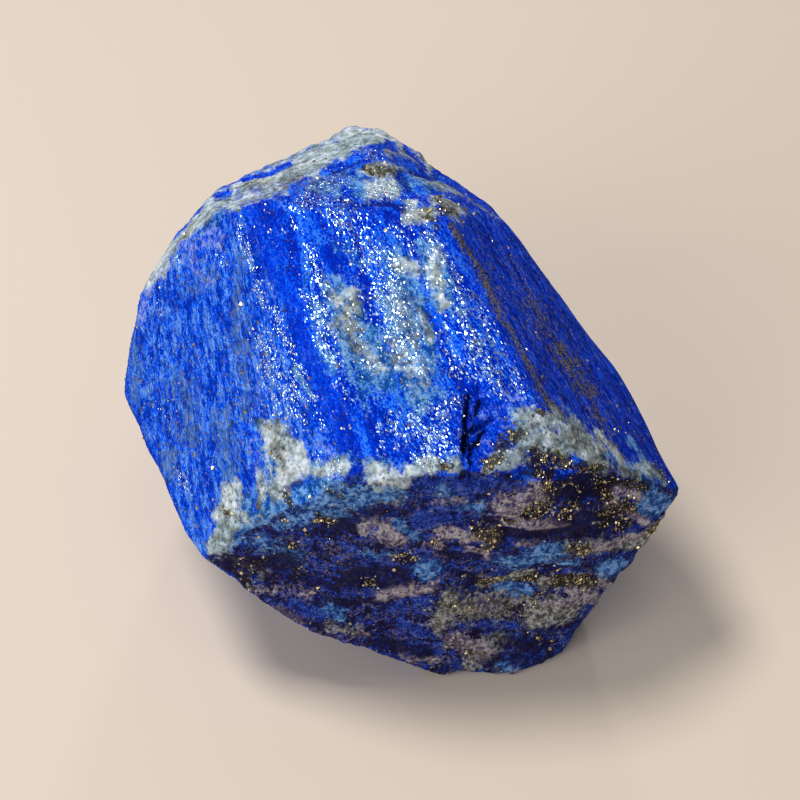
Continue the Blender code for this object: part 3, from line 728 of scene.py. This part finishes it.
class Link:
    """A socket of the material being made. Sums and products of links and numbers are Math nodes."""

    def __init__(self, tree, socket):
        self.tree = tree
        self.socket = socket

    def node(self, kind, settings, inputs, output=0):
        """Add a node: its type, its settings, then a value or a link for each socket named or counted."""
        added = self.tree.nodes.new(kind)
        for name, value in settings.items():
            if name == "stops":
                elements = added.color_ramp.elements
                for place, colour in value[1:-1]:
                    elements.new(place).color = (*colour, 1)
                for element, (place, colour) in ((elements[0], value[0]), (elements[-1], value[-1])):
                    element.position = place
                    element.color = (*colour, 1)
            else:
                setattr(added, name, value)
        for name, value in inputs.items():
            if isinstance(value, Link):
                self.tree.links.new(value.socket, added.inputs[name])
            else:
                added.inputs[name].default_value = value
        return Link(self.tree, added.outputs[output])

    def beside(self, output):
        """Another output of the same node."""
        return Link(self.tree, self.socket.node.outputs[output])

    def maths(self, operation, *others):
        """A Math node on this link and the others."""
        values = dict(enumerate((self, *others)))
        return self.node("ShaderNodeMath", {"operation": operation}, values)

    def vector(self, operation, other, output=0):
        """A Vector Math node on this link and another."""
        return self.node("ShaderNodeVectorMath", {"operation": operation}, {0: self, 1: other}, output)

    def moved(self, way, amount):
        """This place, moved some way."""
        inputs = {0: way, 1: (amount, amount, amount), 2: self}
        return self.node("ShaderNodeVectorMath", {"operation": "MULTIPLY_ADD"}, inputs)

    def __add__(self, other):
        return self.maths("ADD", other)

    __radd__ = __add__

    def __sub__(self, other):
        return self.maths("SUBTRACT", other)

    def __rsub__(self, other):
        return self.node("ShaderNodeMath", {"operation": "SUBTRACT"}, {0: other, 1: self})

    def __mul__(self, other):
        return self.maths("MULTIPLY", other)

    __rmul__ = __mul__

    def __truediv__(self, other):
        return self.maths("DIVIDE", other)

    def rise(self, low, high):
        """Smooth rise from 0 where this is low to 1 where it is high."""
        inputs = {"Value": self, "From Min": low, "From Max": high}
        return self.node("ShaderNodeMapRange", {"interpolation_type": "SMOOTHSTEP"}, inputs)

    def near(self, middle, width):
        """1 where this equals the middle value, falling in a straight line to 0 a width away."""
        return ((self - middle).maths("ABSOLUTE") * (-1 / width) + 1).maths("MAXIMUM", 0.0)

    def sized(self, *sizes):
        """This place counted in cells of the given sizes, in millimetres."""
        return self.vector("MULTIPLY", tuple(1 / size for size in sizes))

    def clouds(self, detail, roughness=0.55):
        """Layered noise at this place, 0 to 1 and mostly near a half."""
        inputs = {"Vector": self, "Scale": 1.0, "Detail": detail, "Roughness": roughness}
        return self.node("ShaderNodeTexNoise", {}, inputs)

    def parts(self):
        """Three independent values, the red, green and blue of this node's colour."""
        colour = self.node("ShaderNodeSeparateColor", {}, {0: self.beside("Color")})
        return colour, colour.beside(1), colour.beside(2)

    def evenly(self):
        """The three values of this node's colour, less a half, so that they lie evenly about 0."""
        return [part - 0.5 for part in self.parts()]

    def blend(self, below, above):
        """The colour below where this is 0, and the one above where it is 1."""
        below = below if isinstance(below, Link) else (*below, 1)
        above = above if isinstance(above, Link) else (*above, 1)
        return self.node("ShaderNodeMix", {"data_type": "RGBA"}, {0: self, 6: below, 7: above}, 2)

    def coloured(self, *stops):
        """A colour ramp read at this value."""
        return self.node("ShaderNodeValToRGB", {"stops": stops}, {0: self})


def new_material(name):
    """A material, a link at its Object coordinates, and its shader."""
    material = bpy.data.materials.new(name)
    material.use_nodes = True
    tree = material.node_tree
    coordinates = tree.nodes.new("ShaderNodeTexCoord")
    return material, Link(tree, coordinates.outputs["Object"]), tree.nodes["Principled BSDF"]


# The rock's colours, each of a mineral or a hue of it; the crack's black and the dark among the pyrite are
# also painted shade
DEEP_BLUE = (0.0, 0.016, 0.38)
ULTRAMARINE = (0.0, 0.038, 0.7)
BRIGHT_BLUE = (0.002, 0.105, 0.88)
AZURE = (0.03, 0.19, 0.82)
DARK_BLUE = (0.001, 0.01, 0.2)
LEFT_DARK = (0.0, 0.03, 0.46)
LEFT_BLUE = (0.001, 0.08, 0.92)
LEFT_LIGHT = (0.024, 0.18, 0.95)
LEFT_PALE = (0.14, 0.34, 0.96)
RIGHT_DARK = (0.0, 0.012, 0.24)
RIGHT_BLUE = (0.001, 0.032, 0.52)
RIGHT_LIGHT = (0.012, 0.075, 0.74)
GREYED_DARK = (0.02, 0.06, 0.26)
GREYED_BLUE = (0.06, 0.17, 0.5)
GREYED_PALE = (0.17, 0.29, 0.54)
LAVENDER = (0.08, 0.15, 0.8)
PALE_LAVENDER = (0.27, 0.37, 0.86)
TEAL_DARK = (0.006, 0.06, 0.29)
TEAL = (0.035, 0.18, 0.52)
TEAL_LIGHT = (0.16, 0.36, 0.68)
CALCITE_DARK = (0.12, 0.165, 0.185)
CALCITE_GREY = (0.285, 0.36, 0.385)
CALCITE_PALE = (0.42, 0.51, 0.565)
CALCITE_WHITE = (0.68, 0.75, 0.82)
OLIVE_DARK = (0.07, 0.075, 0.065)
OLIVE_GREY = (0.2, 0.215, 0.2)
OLIVE_PALE = (0.37, 0.4, 0.4)
OCHRE = (0.19, 0.165, 0.065)
OLIVE_BLACK = (0.03, 0.03, 0.03)
BLACK_VIOLET = (0.012, 0.009, 0.04)
NAVY = (0.012, 0.02, 0.14)
ROYAL = (0.01, 0.045, 0.4)
SLATE = (0.08, 0.12, 0.38)
GREY_VIOLET = (0.16, 0.14, 0.26)
STEEL_DARK = (0.016, 0.045, 0.2)
STEEL_BLUE = (0.05, 0.16, 0.46)
STEEL_LIGHT = (0.2, 0.4, 0.8)
MAUVE = (0.075, 0.06, 0.13)
PINK_GREY = (0.24, 0.2, 0.26)
PINK_PALE = (0.48, 0.44, 0.48)
MOSS_DARK = (0.08, 0.08, 0.078)
MOSS_GREY = (0.18, 0.18, 0.175)
MOSS_PALE = (0.4, 0.41, 0.41)
DARK_GROUND_AND_SHADE = (0.02, 0.015, 0.012)
BRASS = (0.6, 0.54, 0.27)
SILVER = (0.5, 0.68, 0.96)
CRACK_SHADE_BLACK = (0.0, 0.001, 0.01)

# The crack, finer than the groove in the stone's form, painted as shade, near black inside and dark blue
# around it: lines of a width, each through pixels of the photograph, how far its edge strays in pixels,
# and how far its lines wander in millimetres
CRACK_PIXELS = {
    "left_top": (0.3, (468, 398), (468, 404)),
    "left_branch": (1.1, (468, 404), (467, 411), (464, 419), (465, 428), (467, 436)),
    "left_hollow": (2.8, (464, 438), (464, 450)),
    "stem": (1.0, (468, 438), (470, 452), (470, 478)),
    "inner_top": (0.3, (467, 412), (473, 421)),
    "inner": (0.8, (473, 424), (468, 433)),
    "upper_right": (2.0, (479, 402), (477, 409)),
    "upper_right_foot": (0.8, (477, 409), (475, 416)),
    "right_branch_top": (0.9, (484, 431), (480, 435)),
    "right_branch": (2.2, (479, 437), (474, 445)),
    "right_branch_foot": (1.2, (473, 446), (470, 450)),
}
CRACK_STRAY = 4
CRACK_WANDER = (1.1, 0, 0)

# Sizes of the rock's fine patterns, in millimetres: fibres, threads and wisps lie across, along and
# through the grain, and crumbs, grit and speckle are about as long as wide. Facets are the smooth spots of
# crystals that catch the light. A facet shows where its own random number is below the share of facets
# wanted there, over this margin.
FIBRE_SIZE = (1.15, 4.2, 1.15)
THREAD_SIZE = (0.32, 1.1, 0.32)
WISP_SIZE = (0.9, 8, 0.9)
CRUMB_SIZE = (1.9, 1.9, 1.9)
GRIT_SIZE = (0.75, 0.75, 0.95)
SPECKLE_SIZE = (0.36, 0.36, 0.36)
STRAY_SIZE = (1.5, 1.5, 1.5)
FACET_SIZE = (0.38, 0.56, 0.38)
FACET_STRAY = 0.3
FACET_MARGIN = (0.0, 0.02)
FACET_CORE = (0.60, 0.44)
SMALL_CORE = (0.52, 0.36)


def split_rock(kept, threads, fibres, speckle, crumbs):
    """Colours of the faces that run with the grain: blue streaks, greyed and lavender ones, teal washes.
    Each is a mix by strokes and noises, with a tone of the same noises that goes from dark to light."""
    flow, streaks, cloud = (kept(name) - 0.5 for name in ("flow", "streaks", "cloud"))
    left, deep, pale = kept("left_side"), kept("deep"), kept("pale")

    level = flow * 0.6 + threads * 1.1 + fibres[0] * 0.5 + speckle * 0.7
    level = level * (1 - deep * 0.6) + 0.49 - deep * 0.07
    body = level.coloured((0.34, DEEP_BLUE), (0.48, ULTRAMARINE), (0.61, BRIGHT_BLUE), (0.76, AZURE))
    level = fibres[0] * 1.6 + threads * 0.8 + streaks * 0.55 + speckle * 0.5 + 0.52
    left_body = level.coloured((0.30, LEFT_DARK), (0.46, LEFT_BLUE), (0.62, LEFT_LIGHT), (0.80, LEFT_PALE))
    # Painted shade: the crevices between the fibres of the left face, the bump's grooves, are darkened to
    # dark blue
    crevice_shade = fibres[1].near(-0.03, 0.030) + fibres[2].near(0.03, 0.022) * 0.8
    body = left.blend(body, (crevice_shade * 0.85).blend(left_body, LEFT_DARK))
    level = threads + fibres[0] + streaks * 0.3 + 0.47
    right_body = level.coloured((0.34, RIGHT_DARK), (0.50, RIGHT_BLUE), (0.74, RIGHT_LIGHT))
    body = kept("right_side").blend(body, right_body)

    greyed = kept("greyed") * 0.80 + left * 0.18 + fibres[1] * 2.2 + threads
    tone = fibres[2] + crumbs[0] * 0.7 + 0.5
    grey_body = tone.coloured((0.34, GREYED_DARK), (0.5, GREYED_BLUE), (0.68, GREYED_PALE))
    body = (greyed.rise(0.35, 0.85) * 0.8).blend(body, grey_body)
    # Lavender: a paler tone of the rock, raised further on the left face, where it is partly a painted sheen
    lavender = kept("lavender") * 0.90 + crumbs[1] * 1.6 + fibres[2] * 1.4
    tone = crumbs[2] * 1.6 + threads * 1.2 + left * 0.17 - kept("crazed") * 0.08 + 0.46
    lavender_body = tone.coloured(
        (0.30, LEFT_DARK), (0.42, LEFT_BLUE), (0.54, LAVENDER), (0.74, PALE_LAVENDER))
    body = (lavender.rise(0.30, 0.80) * 0.9).blend(body, lavender_body)

    wash = kept("teal") + pale * 0.40 + fibres[0] * 1.6 + crumbs[2] * 1.2 + speckle * 0.6
    tone = crumbs[0] * 1.5 + cloud * 0.3 + fibres[1] * 1.2 + speckle * 0.6 + 0.5
    wash_body = tone.coloured((0.32, TEAL_DARK), (0.50, TEAL), (0.70, TEAL_LIGHT))
    body = (wash.rise(0.25, 0.85) * 0.95).blend(body, wash_body)
    banded = kept("ochre") * 0.80 + fibres[1] * 1.8 + threads * 2.0
    band = (speckle + 0.5).coloured((0.46, OLIVE_BLACK), (0.62, OCHRE))
    body = (banded.rise(0.46, 0.80) * 0.85).blend(body, band)
    shaded = kept("black") + crumbs[2] * 1.4
    shade = (crumbs[0] + 0.5).coloured((0.42, BLACK_VIOLET), (0.56, DARK_BLUE))
    return (shaded.rise(0.30, 0.85) * 0.9).blend(body, shade)


def broken_rock(kept, speckle, crumbs, grit):
    """Colours of the faces that break across the grain: soft patches on a dark ground, each a mix by its
    strokes and noises, with a tone that goes from dark to light."""
    steel, moss, pink = kept("steel"), kept("moss"), kept("pink")
    fine = speckle * 0.6
    level = (kept("tone") - 0.5) * 0.5 + crumbs[0] * 1.3 + grit[2] * 0.8 + fine + 0.435
    rock = level.coloured((0.28, BLACK_VIOLET), (0.44, NAVY), (0.60, ROYAL), (0.80, SLATE))
    mottled = kept("mottle") - 0.5 + grit[0] * 1.8 + crumbs[2] * 0.8
    mottle = (grit[1] + fine + 0.5).coloured((0.40, BLACK_VIOLET), (0.58, GREY_VIOLET))
    rock = (mottled.rise(0.02, 0.30) * 0.8).blend(rock, mottle)

    edge = kept("royal") + crumbs[1] * 2.0 + grit[2] * 0.8 + fine
    patch = (crumbs[0] + fine + 0.5).coloured((0.38, NAVY), (0.52, ROYAL), (0.70, SLATE))
    rock = edge.rise(0.30, 0.80).blend(rock, patch)
    edge = steel + crumbs[2] * 1.8 + grit[2] * 1.2 + fine
    tone = grit[0] * 1.1 + crumbs[1] * 1.2 + steel * 0.26 + 0.30
    patch = tone.coloured((0.30, STEEL_DARK), (0.50, STEEL_BLUE), (0.74, STEEL_LIGHT))
    rock = edge.rise(0.28, 0.85).blend(rock, patch)
    edge = moss + crumbs[0] * 1.8 + grit[1] * 1.2 + fine
    tone = grit[2] * 1.1 + crumbs[1] * 1.2 + moss * 0.1 + 0.44
    patch = tone.coloured((0.32, MOSS_DARK), (0.50, MOSS_GREY), (0.70, MOSS_PALE))
    rock = edge.rise(0.28, 0.85).blend(rock, patch)
    edge = pink + crumbs[1] * 1.8 + grit[0] * 1.2 + fine
    tone = grit[1] * 1.1 + crumbs[2] * 1.2 + pink * 0.24 + 0.33
    patch = tone.coloured((0.30, MAUVE), (0.50, PINK_GREY), (0.72, PINK_PALE))
    rock = edge.rise(0.30, 0.88).blend(rock, patch)
    # Black patches: dark rock, and painted shade in the hollows and under the edges of the broken front
    edge = kept("black") + crumbs[2] * 1.8 + grit[1] * 1.2 + fine
    return (edge.rise(0.28, 0.85) * 0.85).blend(rock, BLACK_VIOLET)


def crack_distance(place, side, stray):
    """Pixels from each place to the crack's nearest line, less half of that line's width."""
    away = VIEW_DISTANCE - place.vector("DOT_PRODUCT", tuple(outward(0, VIEW_SLOPE)), 1)
    rise = place.vector("DOT_PRODUCT", tuple(outward(180, 90 - VIEW_SLOPE)), 1)
    strayed_side = side + stray.vector("DOT_PRODUCT", CRACK_WANDER, 1)
    picture_x = strayed_side / away * VIEW_FOCAL_PIXELS + VIEW_MIDDLE_PIXEL
    picture_y = VIEW_MIDDLE_PIXEL - rise / away * VIEW_FOCAL_PIXELS
    picture = place.node("ShaderNodeCombineXYZ", {}, {0: picture_x, 1: picture_y})
    nearest = None
    for half_width, *pixels in CRACK_PIXELS.values():
        for start, end in itertools.pairwise(np.array(pixels, dtype=float)):
            run = end - start
            from_start = picture.vector("SUBTRACT", (*start, 0))
            share = from_start.vector("DOT_PRODUCT", (*(run / (run @ run)), 0), 1)
            share = share.maths("MAXIMUM", 0.0).maths("MINIMUM", 1.0)
            foot = share.node("ShaderNodeVectorMath", {"operation": "SCALE"}, {0: (*run, 0), "Scale": share})
            beside = from_start.vector("DISTANCE", foot, 1) - half_width
            nearest = beside if nearest is None else nearest.maths("MINIMUM", beside)
    return nearest


def lapis_finish():
    """Blue rock with calcite, ochre and pyrite: streaked along the grain, mottled across it."""
    material, object_place, shader = new_material("lapis_rock")
    place = object_place.vector("MULTIPLY", (1 / MM, 1 / MM, 1 / MM)).vector("SUBTRACT", tuple(HEART))
    along = place.vector("DOT_PRODUCT", tuple(ALONG), 1)
    through = place.vector("DOT_PRODUCT", tuple(THROUGH), 1)
    side = place.vector("DOT_PRODUCT", (1, 0, 0), 1)
    across = (side - FAN_START) * (along * -FAN_RATE).maths("EXPONENT") + FAN_START
    stray = place.sized(*STRAY_SIZE).clouds(0).beside("Color").vector("SUBTRACT", (0.5, 0.5, 0.5))
    grain_place = place.node("ShaderNodeCombineXYZ", {}, {0: across, 1: along, 2: through})
    wavy = grain_place.moved(stray, 1.0)
    attributes = {}

    def kept(name):
        """The value stored for each point of the stone under this name."""
        if name not in attributes:
            attributes[name] = place.node("ShaderNodeAttribute", {"attribute_name": name}, {}, 2)
        return attributes[name]

    fibres = wavy.sized(*FIBRE_SIZE).clouds(2, 0.65).evenly()
    crumbs = place.sized(*CRUMB_SIZE).clouds(2, 0.62).evenly()
    grit = place.sized(*GRIT_SIZE).clouds(1, 0.6).evenly()
    threads = wavy.sized(*THREAD_SIZE).clouds(1, 0.6) - 0.5
    speckle = place.sized(*SPECKLE_SIZE).clouds(0) - 0.5
    broken, glint, pyrite_here = kept("broken"), kept("glint"), kept("pyrite")
    left, right, pale = kept("left_side"), kept("right_side"), kept("pale")
    unbroken = 1 - broken

    colour = broken.blend(
        split_rock(kept, threads, fibres, speckle, crumbs), broken_rock(kept, speckle, crumbs, grit))
    here = pale * 1.1 + crumbs[1] * 1.2 + grit[0] + fibres[2] * 0.8
    tone = crumbs[0] * 1.1 + grit[1] * 0.45 + (kept("cloud") - 0.5) * 0.5 + pale * 0.12 + 0.42
    calcite = tone.coloured(
        (0.28, CALCITE_DARK), (0.44, CALCITE_GREY), (0.58, CALCITE_PALE), (0.76, CALCITE_WHITE))
    olive = tone.coloured((0.30, OLIVE_DARK), (0.50, OLIVE_GREY), (0.72, OLIVE_PALE))
    brown = kept("brown") + crumbs[2] * 2.0 + grit[2] * 1.2
    calcite = (brown.rise(0.25, 1.0) * 0.9).blend(calcite, olive)
    colour = here.rise(0.34, 0.96).blend(colour, calcite)

    # Thin pale lavender lines along the grain of the right face, partly a painted highlight
    wisps = wavy.sized(*WISP_SIZE).clouds(1, 0.6).near(0.5, 0.016)
    colour = (wisps * right * 0.40 * unbroken).blend(colour, PALE_LAVENDER)
    craze = crumbs[0].near(0.0, 0.022) + grit[2].near(0.0, 0.03) * 0.6
    colour = (craze * kept("crazed")).blend(colour, DARK_BLUE)
    # Painted shade: dark blue lines along ledges and steps, where shade falls
    dark_line = (kept("dark_line") + crumbs[1] * 1.2).rise(0.35, 0.75)
    colour = (dark_line * 0.8).blend(colour, DARK_BLUE)
    # Where the pyrite lies the rock goes near black: a dark ground, partly painted shade between the grains
    dark_ground_and_shade = (pyrite_here + crumbs[2] * 2.0 + grit[0] * 1.4).rise(0.28, 0.75)
    colour = (dark_ground_and_shade * 0.85).blend(colour, DARK_GROUND_AND_SHADE)

    # Facets: silvery glints on split faces, brassy ones by the pyrite, and dull ochre and dark flecks
    facet_place = grain_place.moved(stray, FACET_STRAY).sized(*FACET_SIZE)
    facets = facet_place.node("ShaderNodeTexVoronoi", {}, {"Vector": facet_place, "Scale": 1.0})
    facet_middle = facets.beside("Position")
    facet_way = facet_middle.node("ShaderNodeTexWhiteNoise", {}, {"Vector": facet_middle}, "Color")
    facet_tilt = facet_way.vector("SUBTRACT", (0.5, 0.5, 0.5)).vector(
        "DOT_PRODUCT", facet_place.vector("SUBTRACT", facet_middle), 1)
    kinds = facets.parts()
    core = facets.rise(*FACET_CORE)
    small_core = facets.rise(*SMALL_CORE)
    lined = (threads * 0.6 + fibres[0] * 0.4).rise(-0.06, 0.06)
    banded = kept("ochre") * (fibres[1] * 0.6 + threads * 0.4).rise(-0.08, 0.06) * 0.5
    silver_share = (glint * (lined * 0.7 + 0.25) + 0.004) * unbroken
    silver = (silver_share - kinds[0]).rise(*FACET_MARGIN) * core
    brass_share = pyrite_here * 0.4 * grit[1].rise(-0.04, 0.08) + kept("fleck") * 0.08 + pale * 0.03 + 0.004
    brass = (brass_share - kinds[1]).rise(*FACET_MARGIN) * small_core
    ochre_share = (banded + right * 0.03 + left * 0.05 + kept("greyed") * 0.06) * unbroken
    ochre = (ochre_share - kinds[2]).rise(*FACET_MARGIN) * core
    fleck_share = kept("fleck") * 0.16 + kept("brown") * 0.10 + banded + 0.014
    fleck = (kinds[2] - 1 + fleck_share).rise(*FACET_MARGIN) * small_core * unbroken
    colour = (fleck * 0.85).blend(colour, OLIVE_BLACK)
    colour = (ochre * 0.9).blend(colour, OCHRE)
    colour = silver.blend(colour, SILVER)
    colour = brass.blend(colour, BRASS)

    crack = crack_distance(place, side, stray) + grit[0] * CRACK_STRAY
    crack_here = kept("crack_here")
    # Painted shade in the crack: dark blue around it and near black inside it
    colour = (crack.rise(4.5, 0.0) * crack_here * 0.6).blend(colour, DARK_BLUE)
    colour = (crack.rise(0.8, -0.3) * crack_here * 0.95).blend(colour, CRACK_SHADE_BLACK)

    shiny = (silver + brass).maths("MINIMUM", 1.0)
    height = (fibres[0] + 0.5) * (left * 1.3 + right * 0.45 + 0.2) + (threads + 0.5) * (left * 0.3 + 0.1)
    height = (height - fibres[1].near(-0.03, 0.03) * left * 0.15) * unbroken * (1 - pale * 0.8)
    height = height + (crumbs[0] * 0.9 + grit[0] * 0.5 + 0.7) * (broken * 0.9 + pale * 0.5)
    height = height + facet_tilt * (glint * 0.20 + pyrite_here * 0.5 + 0.03)
    bump = height.node("ShaderNodeBump", {}, {"Strength": 1.0, "Distance": MM, "Height": height})
    roughness = 0.62 - glint * 0.1 - shiny * 0.36

    tree = object_place.tree
    tree.links.new(colour.socket, shader.inputs["Base Color"])
    tree.links.new(roughness.socket, shader.inputs["Roughness"])
    tree.links.new(shiny.socket, shader.inputs["Metallic"])
    tree.links.new(bump.socket, shader.inputs["Normal"])
    shader.inputs["Specular IOR Level"].default_value = 0.02
    return material


stone.data.materials.append(lapis_finish())
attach(stone, "root")
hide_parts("stone")


# Pyrite grains. Small brassy crystals that grew in the rock and stand half out of the broken surface,
# thickest near the front edge. Each is a squeezed block with its own turn and size, in millimetres.
GRAIN_COUNT = 2800
GRAIN_SIZES = (0.09, 0.36)
GRAIN_SUNK = 0.3
GRAIN_SEED = 7
STRAY_GRAINS = 0.0006
LOWEST_GRAIN = 3 - REST_DEPTH
BLOCK_CORNERS = np.array(list(itertools.product((-1.0, 1.0), repeat=3)))
BLOCK_FACES = np.array([(0, 1, 3, 2), (4, 6, 7, 5), (0, 4, 5, 1), (2, 3, 7, 6), (0, 2, 6, 4), (1, 5, 7, 3)])


def grain_blocks(rng, middles, normals):
    """Corners of many blocks: a cube's, squeezed along each side, turned by a random rotation, jittered."""
    count = len(middles)
    smallest, largest = GRAIN_SIZES
    half = smallest + (largest - smallest) * rng.random((count, 1, 1)) ** 3
    half = half * rng.uniform(0.6, 1.0, (count, 1, 3))
    corners = BLOCK_CORNERS * half * (1 + rng.uniform(-0.25, 0.25, (count, 8, 3)))
    turn = rng.normal(size=(count, 4))
    w, x, y, z = (turn / np.linalg.norm(turn, axis=1)[:, None]).T
    rotation = np.stack([
        1 - 2 * (y * y + z * z), 2 * (x * y - w * z), 2 * (x * z + w * y),
        2 * (x * y + w * z), 1 - 2 * (x * x + z * z), 2 * (y * z - w * x),
        2 * (x * z - w * y), 2 * (y * z + w * x), 1 - 2 * (x * x + y * y),
    ], 1).reshape(count, 3, 3)
    sunk = middles - normals * half.mean(2) * GRAIN_SUNK
    return np.einsum("nij,nkj->nki", rotation, corners) + sunk[:, None]


# Grains are likelier on larger quads, where the pyrite's strokes and a fine noise are both strong
rng = np.random.default_rng(GRAIN_SEED)
corners = places[quads]
across_quad = np.cross(corners[:, 2] - corners[:, 0], corners[:, 3] - corners[:, 1])
area = np.linalg.norm(across_quad, axis=1)
clustered = pyrite[quads].mean(1) ** 2 * ramp(-0.2, 0.5, noise(corners.mean(1) / 1.1, 41)) ** 2
chance = area * (clustered + STRAY_GRAINS) * (corners[:, :, 2].mean(1) > LOWEST_GRAIN)
chosen = rng.choice(len(quads), GRAIN_COUNT, replace=False, p=chance / chance.sum())
normals = across_quad[chosen] / area[chosen, None]
blocks = grain_blocks(rng, corners[chosen].mean(1), normals)
block_faces = (BLOCK_FACES + 8 * np.arange(GRAIN_COUNT)[:, None, None]).reshape(-1, 4)
grains = add_piece("pyrite_grains", (blocks.reshape(-1, 3) + HEART) * MM, block_faces)

PYRITE_DULL = (0.34, 0.26, 0.13)
PYRITE_BRIGHT = (0.85, 0.73, 0.48)


def pyrite_finish():
    """Pale brassy metal, a little duller and browner from grain to grain."""
    material, object_place, shader = new_material("pyrite")
    tint = object_place.sized(MM, MM, MM).clouds(2)
    colour = tint.rise(0.35, 0.65).blend(PYRITE_DULL, PYRITE_BRIGHT)
    tree = object_place.tree
    tree.links.new(colour.socket, shader.inputs["Base Color"])
    tree.links.new((tint * 0.3 + 0.1).socket, shader.inputs["Roughness"])
    shader.inputs["Metallic"].default_value = 1.0
    return material


grains.data.materials.append(pyrite_finish())
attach(grains, "root")


# The floor. A plain pale surface that the stone rests on, not part of the object.
FLOOR_HALF = 8.0
FLOOR_DROP = 0.00005
FLOOR_COLOUR = (0.72, 0.608, 0.508, 1)
floor_corners = np.array([(-1, -1, 0), (1, -1, 0), (1, 1, 0), (-1, 1, 0)]) * FLOOR_HALF - (0, 0, FLOOR_DROP)
floor = add_piece("floor", floor_corners, [(0, 1, 2, 3)])
floor_material, _, floor_shader = new_material("pale_floor")
floor_shader.inputs["Base Color"].default_value = FLOOR_COLOUR
floor_shader.inputs["Roughness"].default_value = 0.7
floor_shader.inputs["Specular IOR Level"].default_value = 0.2
floor.data.materials.append(floor_material)


# Light and camera. A soft key light from above left behind the stone, so that the split faces shine and
# the broken front stays in shade, a broad pale sky, and the camera at the photograph's angle. The small
# lights make the crystals glitter. Each light: its size, power, distance from the heart, and direction.
LIGHTS = {
    "key": (0.26, 5.6, 0.9, (-0.34, 0.12, 0.93)),
    "fill": (0.9, 5.5, 1.2, (-0.75, -0.8, 0.65)),
    "glitter": (0.12, 0.5, 0.9, (0.25, -0.93, 0.28)),
    "spark": (0.15, 0.4, 0.9, (0.06, -0.07, 0.996)),
    "window": (0.10, 0.8, 0.9, (0.09, 0.86, 0.5)),
    "kicker": (0.08, 0.5, 0.9, (-0.92, -0.22, 0.33)),
}
KEY_COLOUR = (1.0, 0.99, 0.97)
SKY_COLOUR = (0.90, 0.95, 1.0, 1)
SKY_STRENGTH = 0.2
SENSOR_WIDTH = 36


def aimed(item, direction, distance):
    """Place an object at a distance from the heart, looking at it."""
    direction = Vector(direction).normalized()
    item.location = Vector(HEART * MM) + direction * distance
    item.rotation_euler = direction.to_track_quat("Z", "Y").to_euler()
    bpy.context.scene.collection.objects.link(item)


for name, (size, power, distance, direction) in LIGHTS.items():
    light = bpy.data.lights.new(name, "AREA")
    light.size = size
    light.energy = power
    if name == "key":
        light.shape = "DISK"
        light.color = KEY_COLOUR
    aimed(bpy.data.objects.new(name, light), direction, distance)

world = bpy.data.worlds.new("soft_sky")
world.use_nodes = True
world.node_tree.nodes["Background"].inputs["Color"].default_value = SKY_COLOUR
world.node_tree.nodes["Background"].inputs["Strength"].default_value = SKY_STRENGTH
bpy.context.scene.world = world
bpy.context.scene.view_settings.view_transform = "Standard"

camera = bpy.data.cameras.new("camera")
camera.sensor_width = SENSOR_WIDTH
camera.lens = VIEW_FOCAL_PIXELS / (2 * VIEW_MIDDLE_PIXEL) * SENSOR_WIDTH
camera_object = bpy.data.objects.new("camera", camera)
aimed(camera_object, outward(0, VIEW_SLOPE), VIEW_DISTANCE * MM)
bpy.context.scene.camera = camera_object
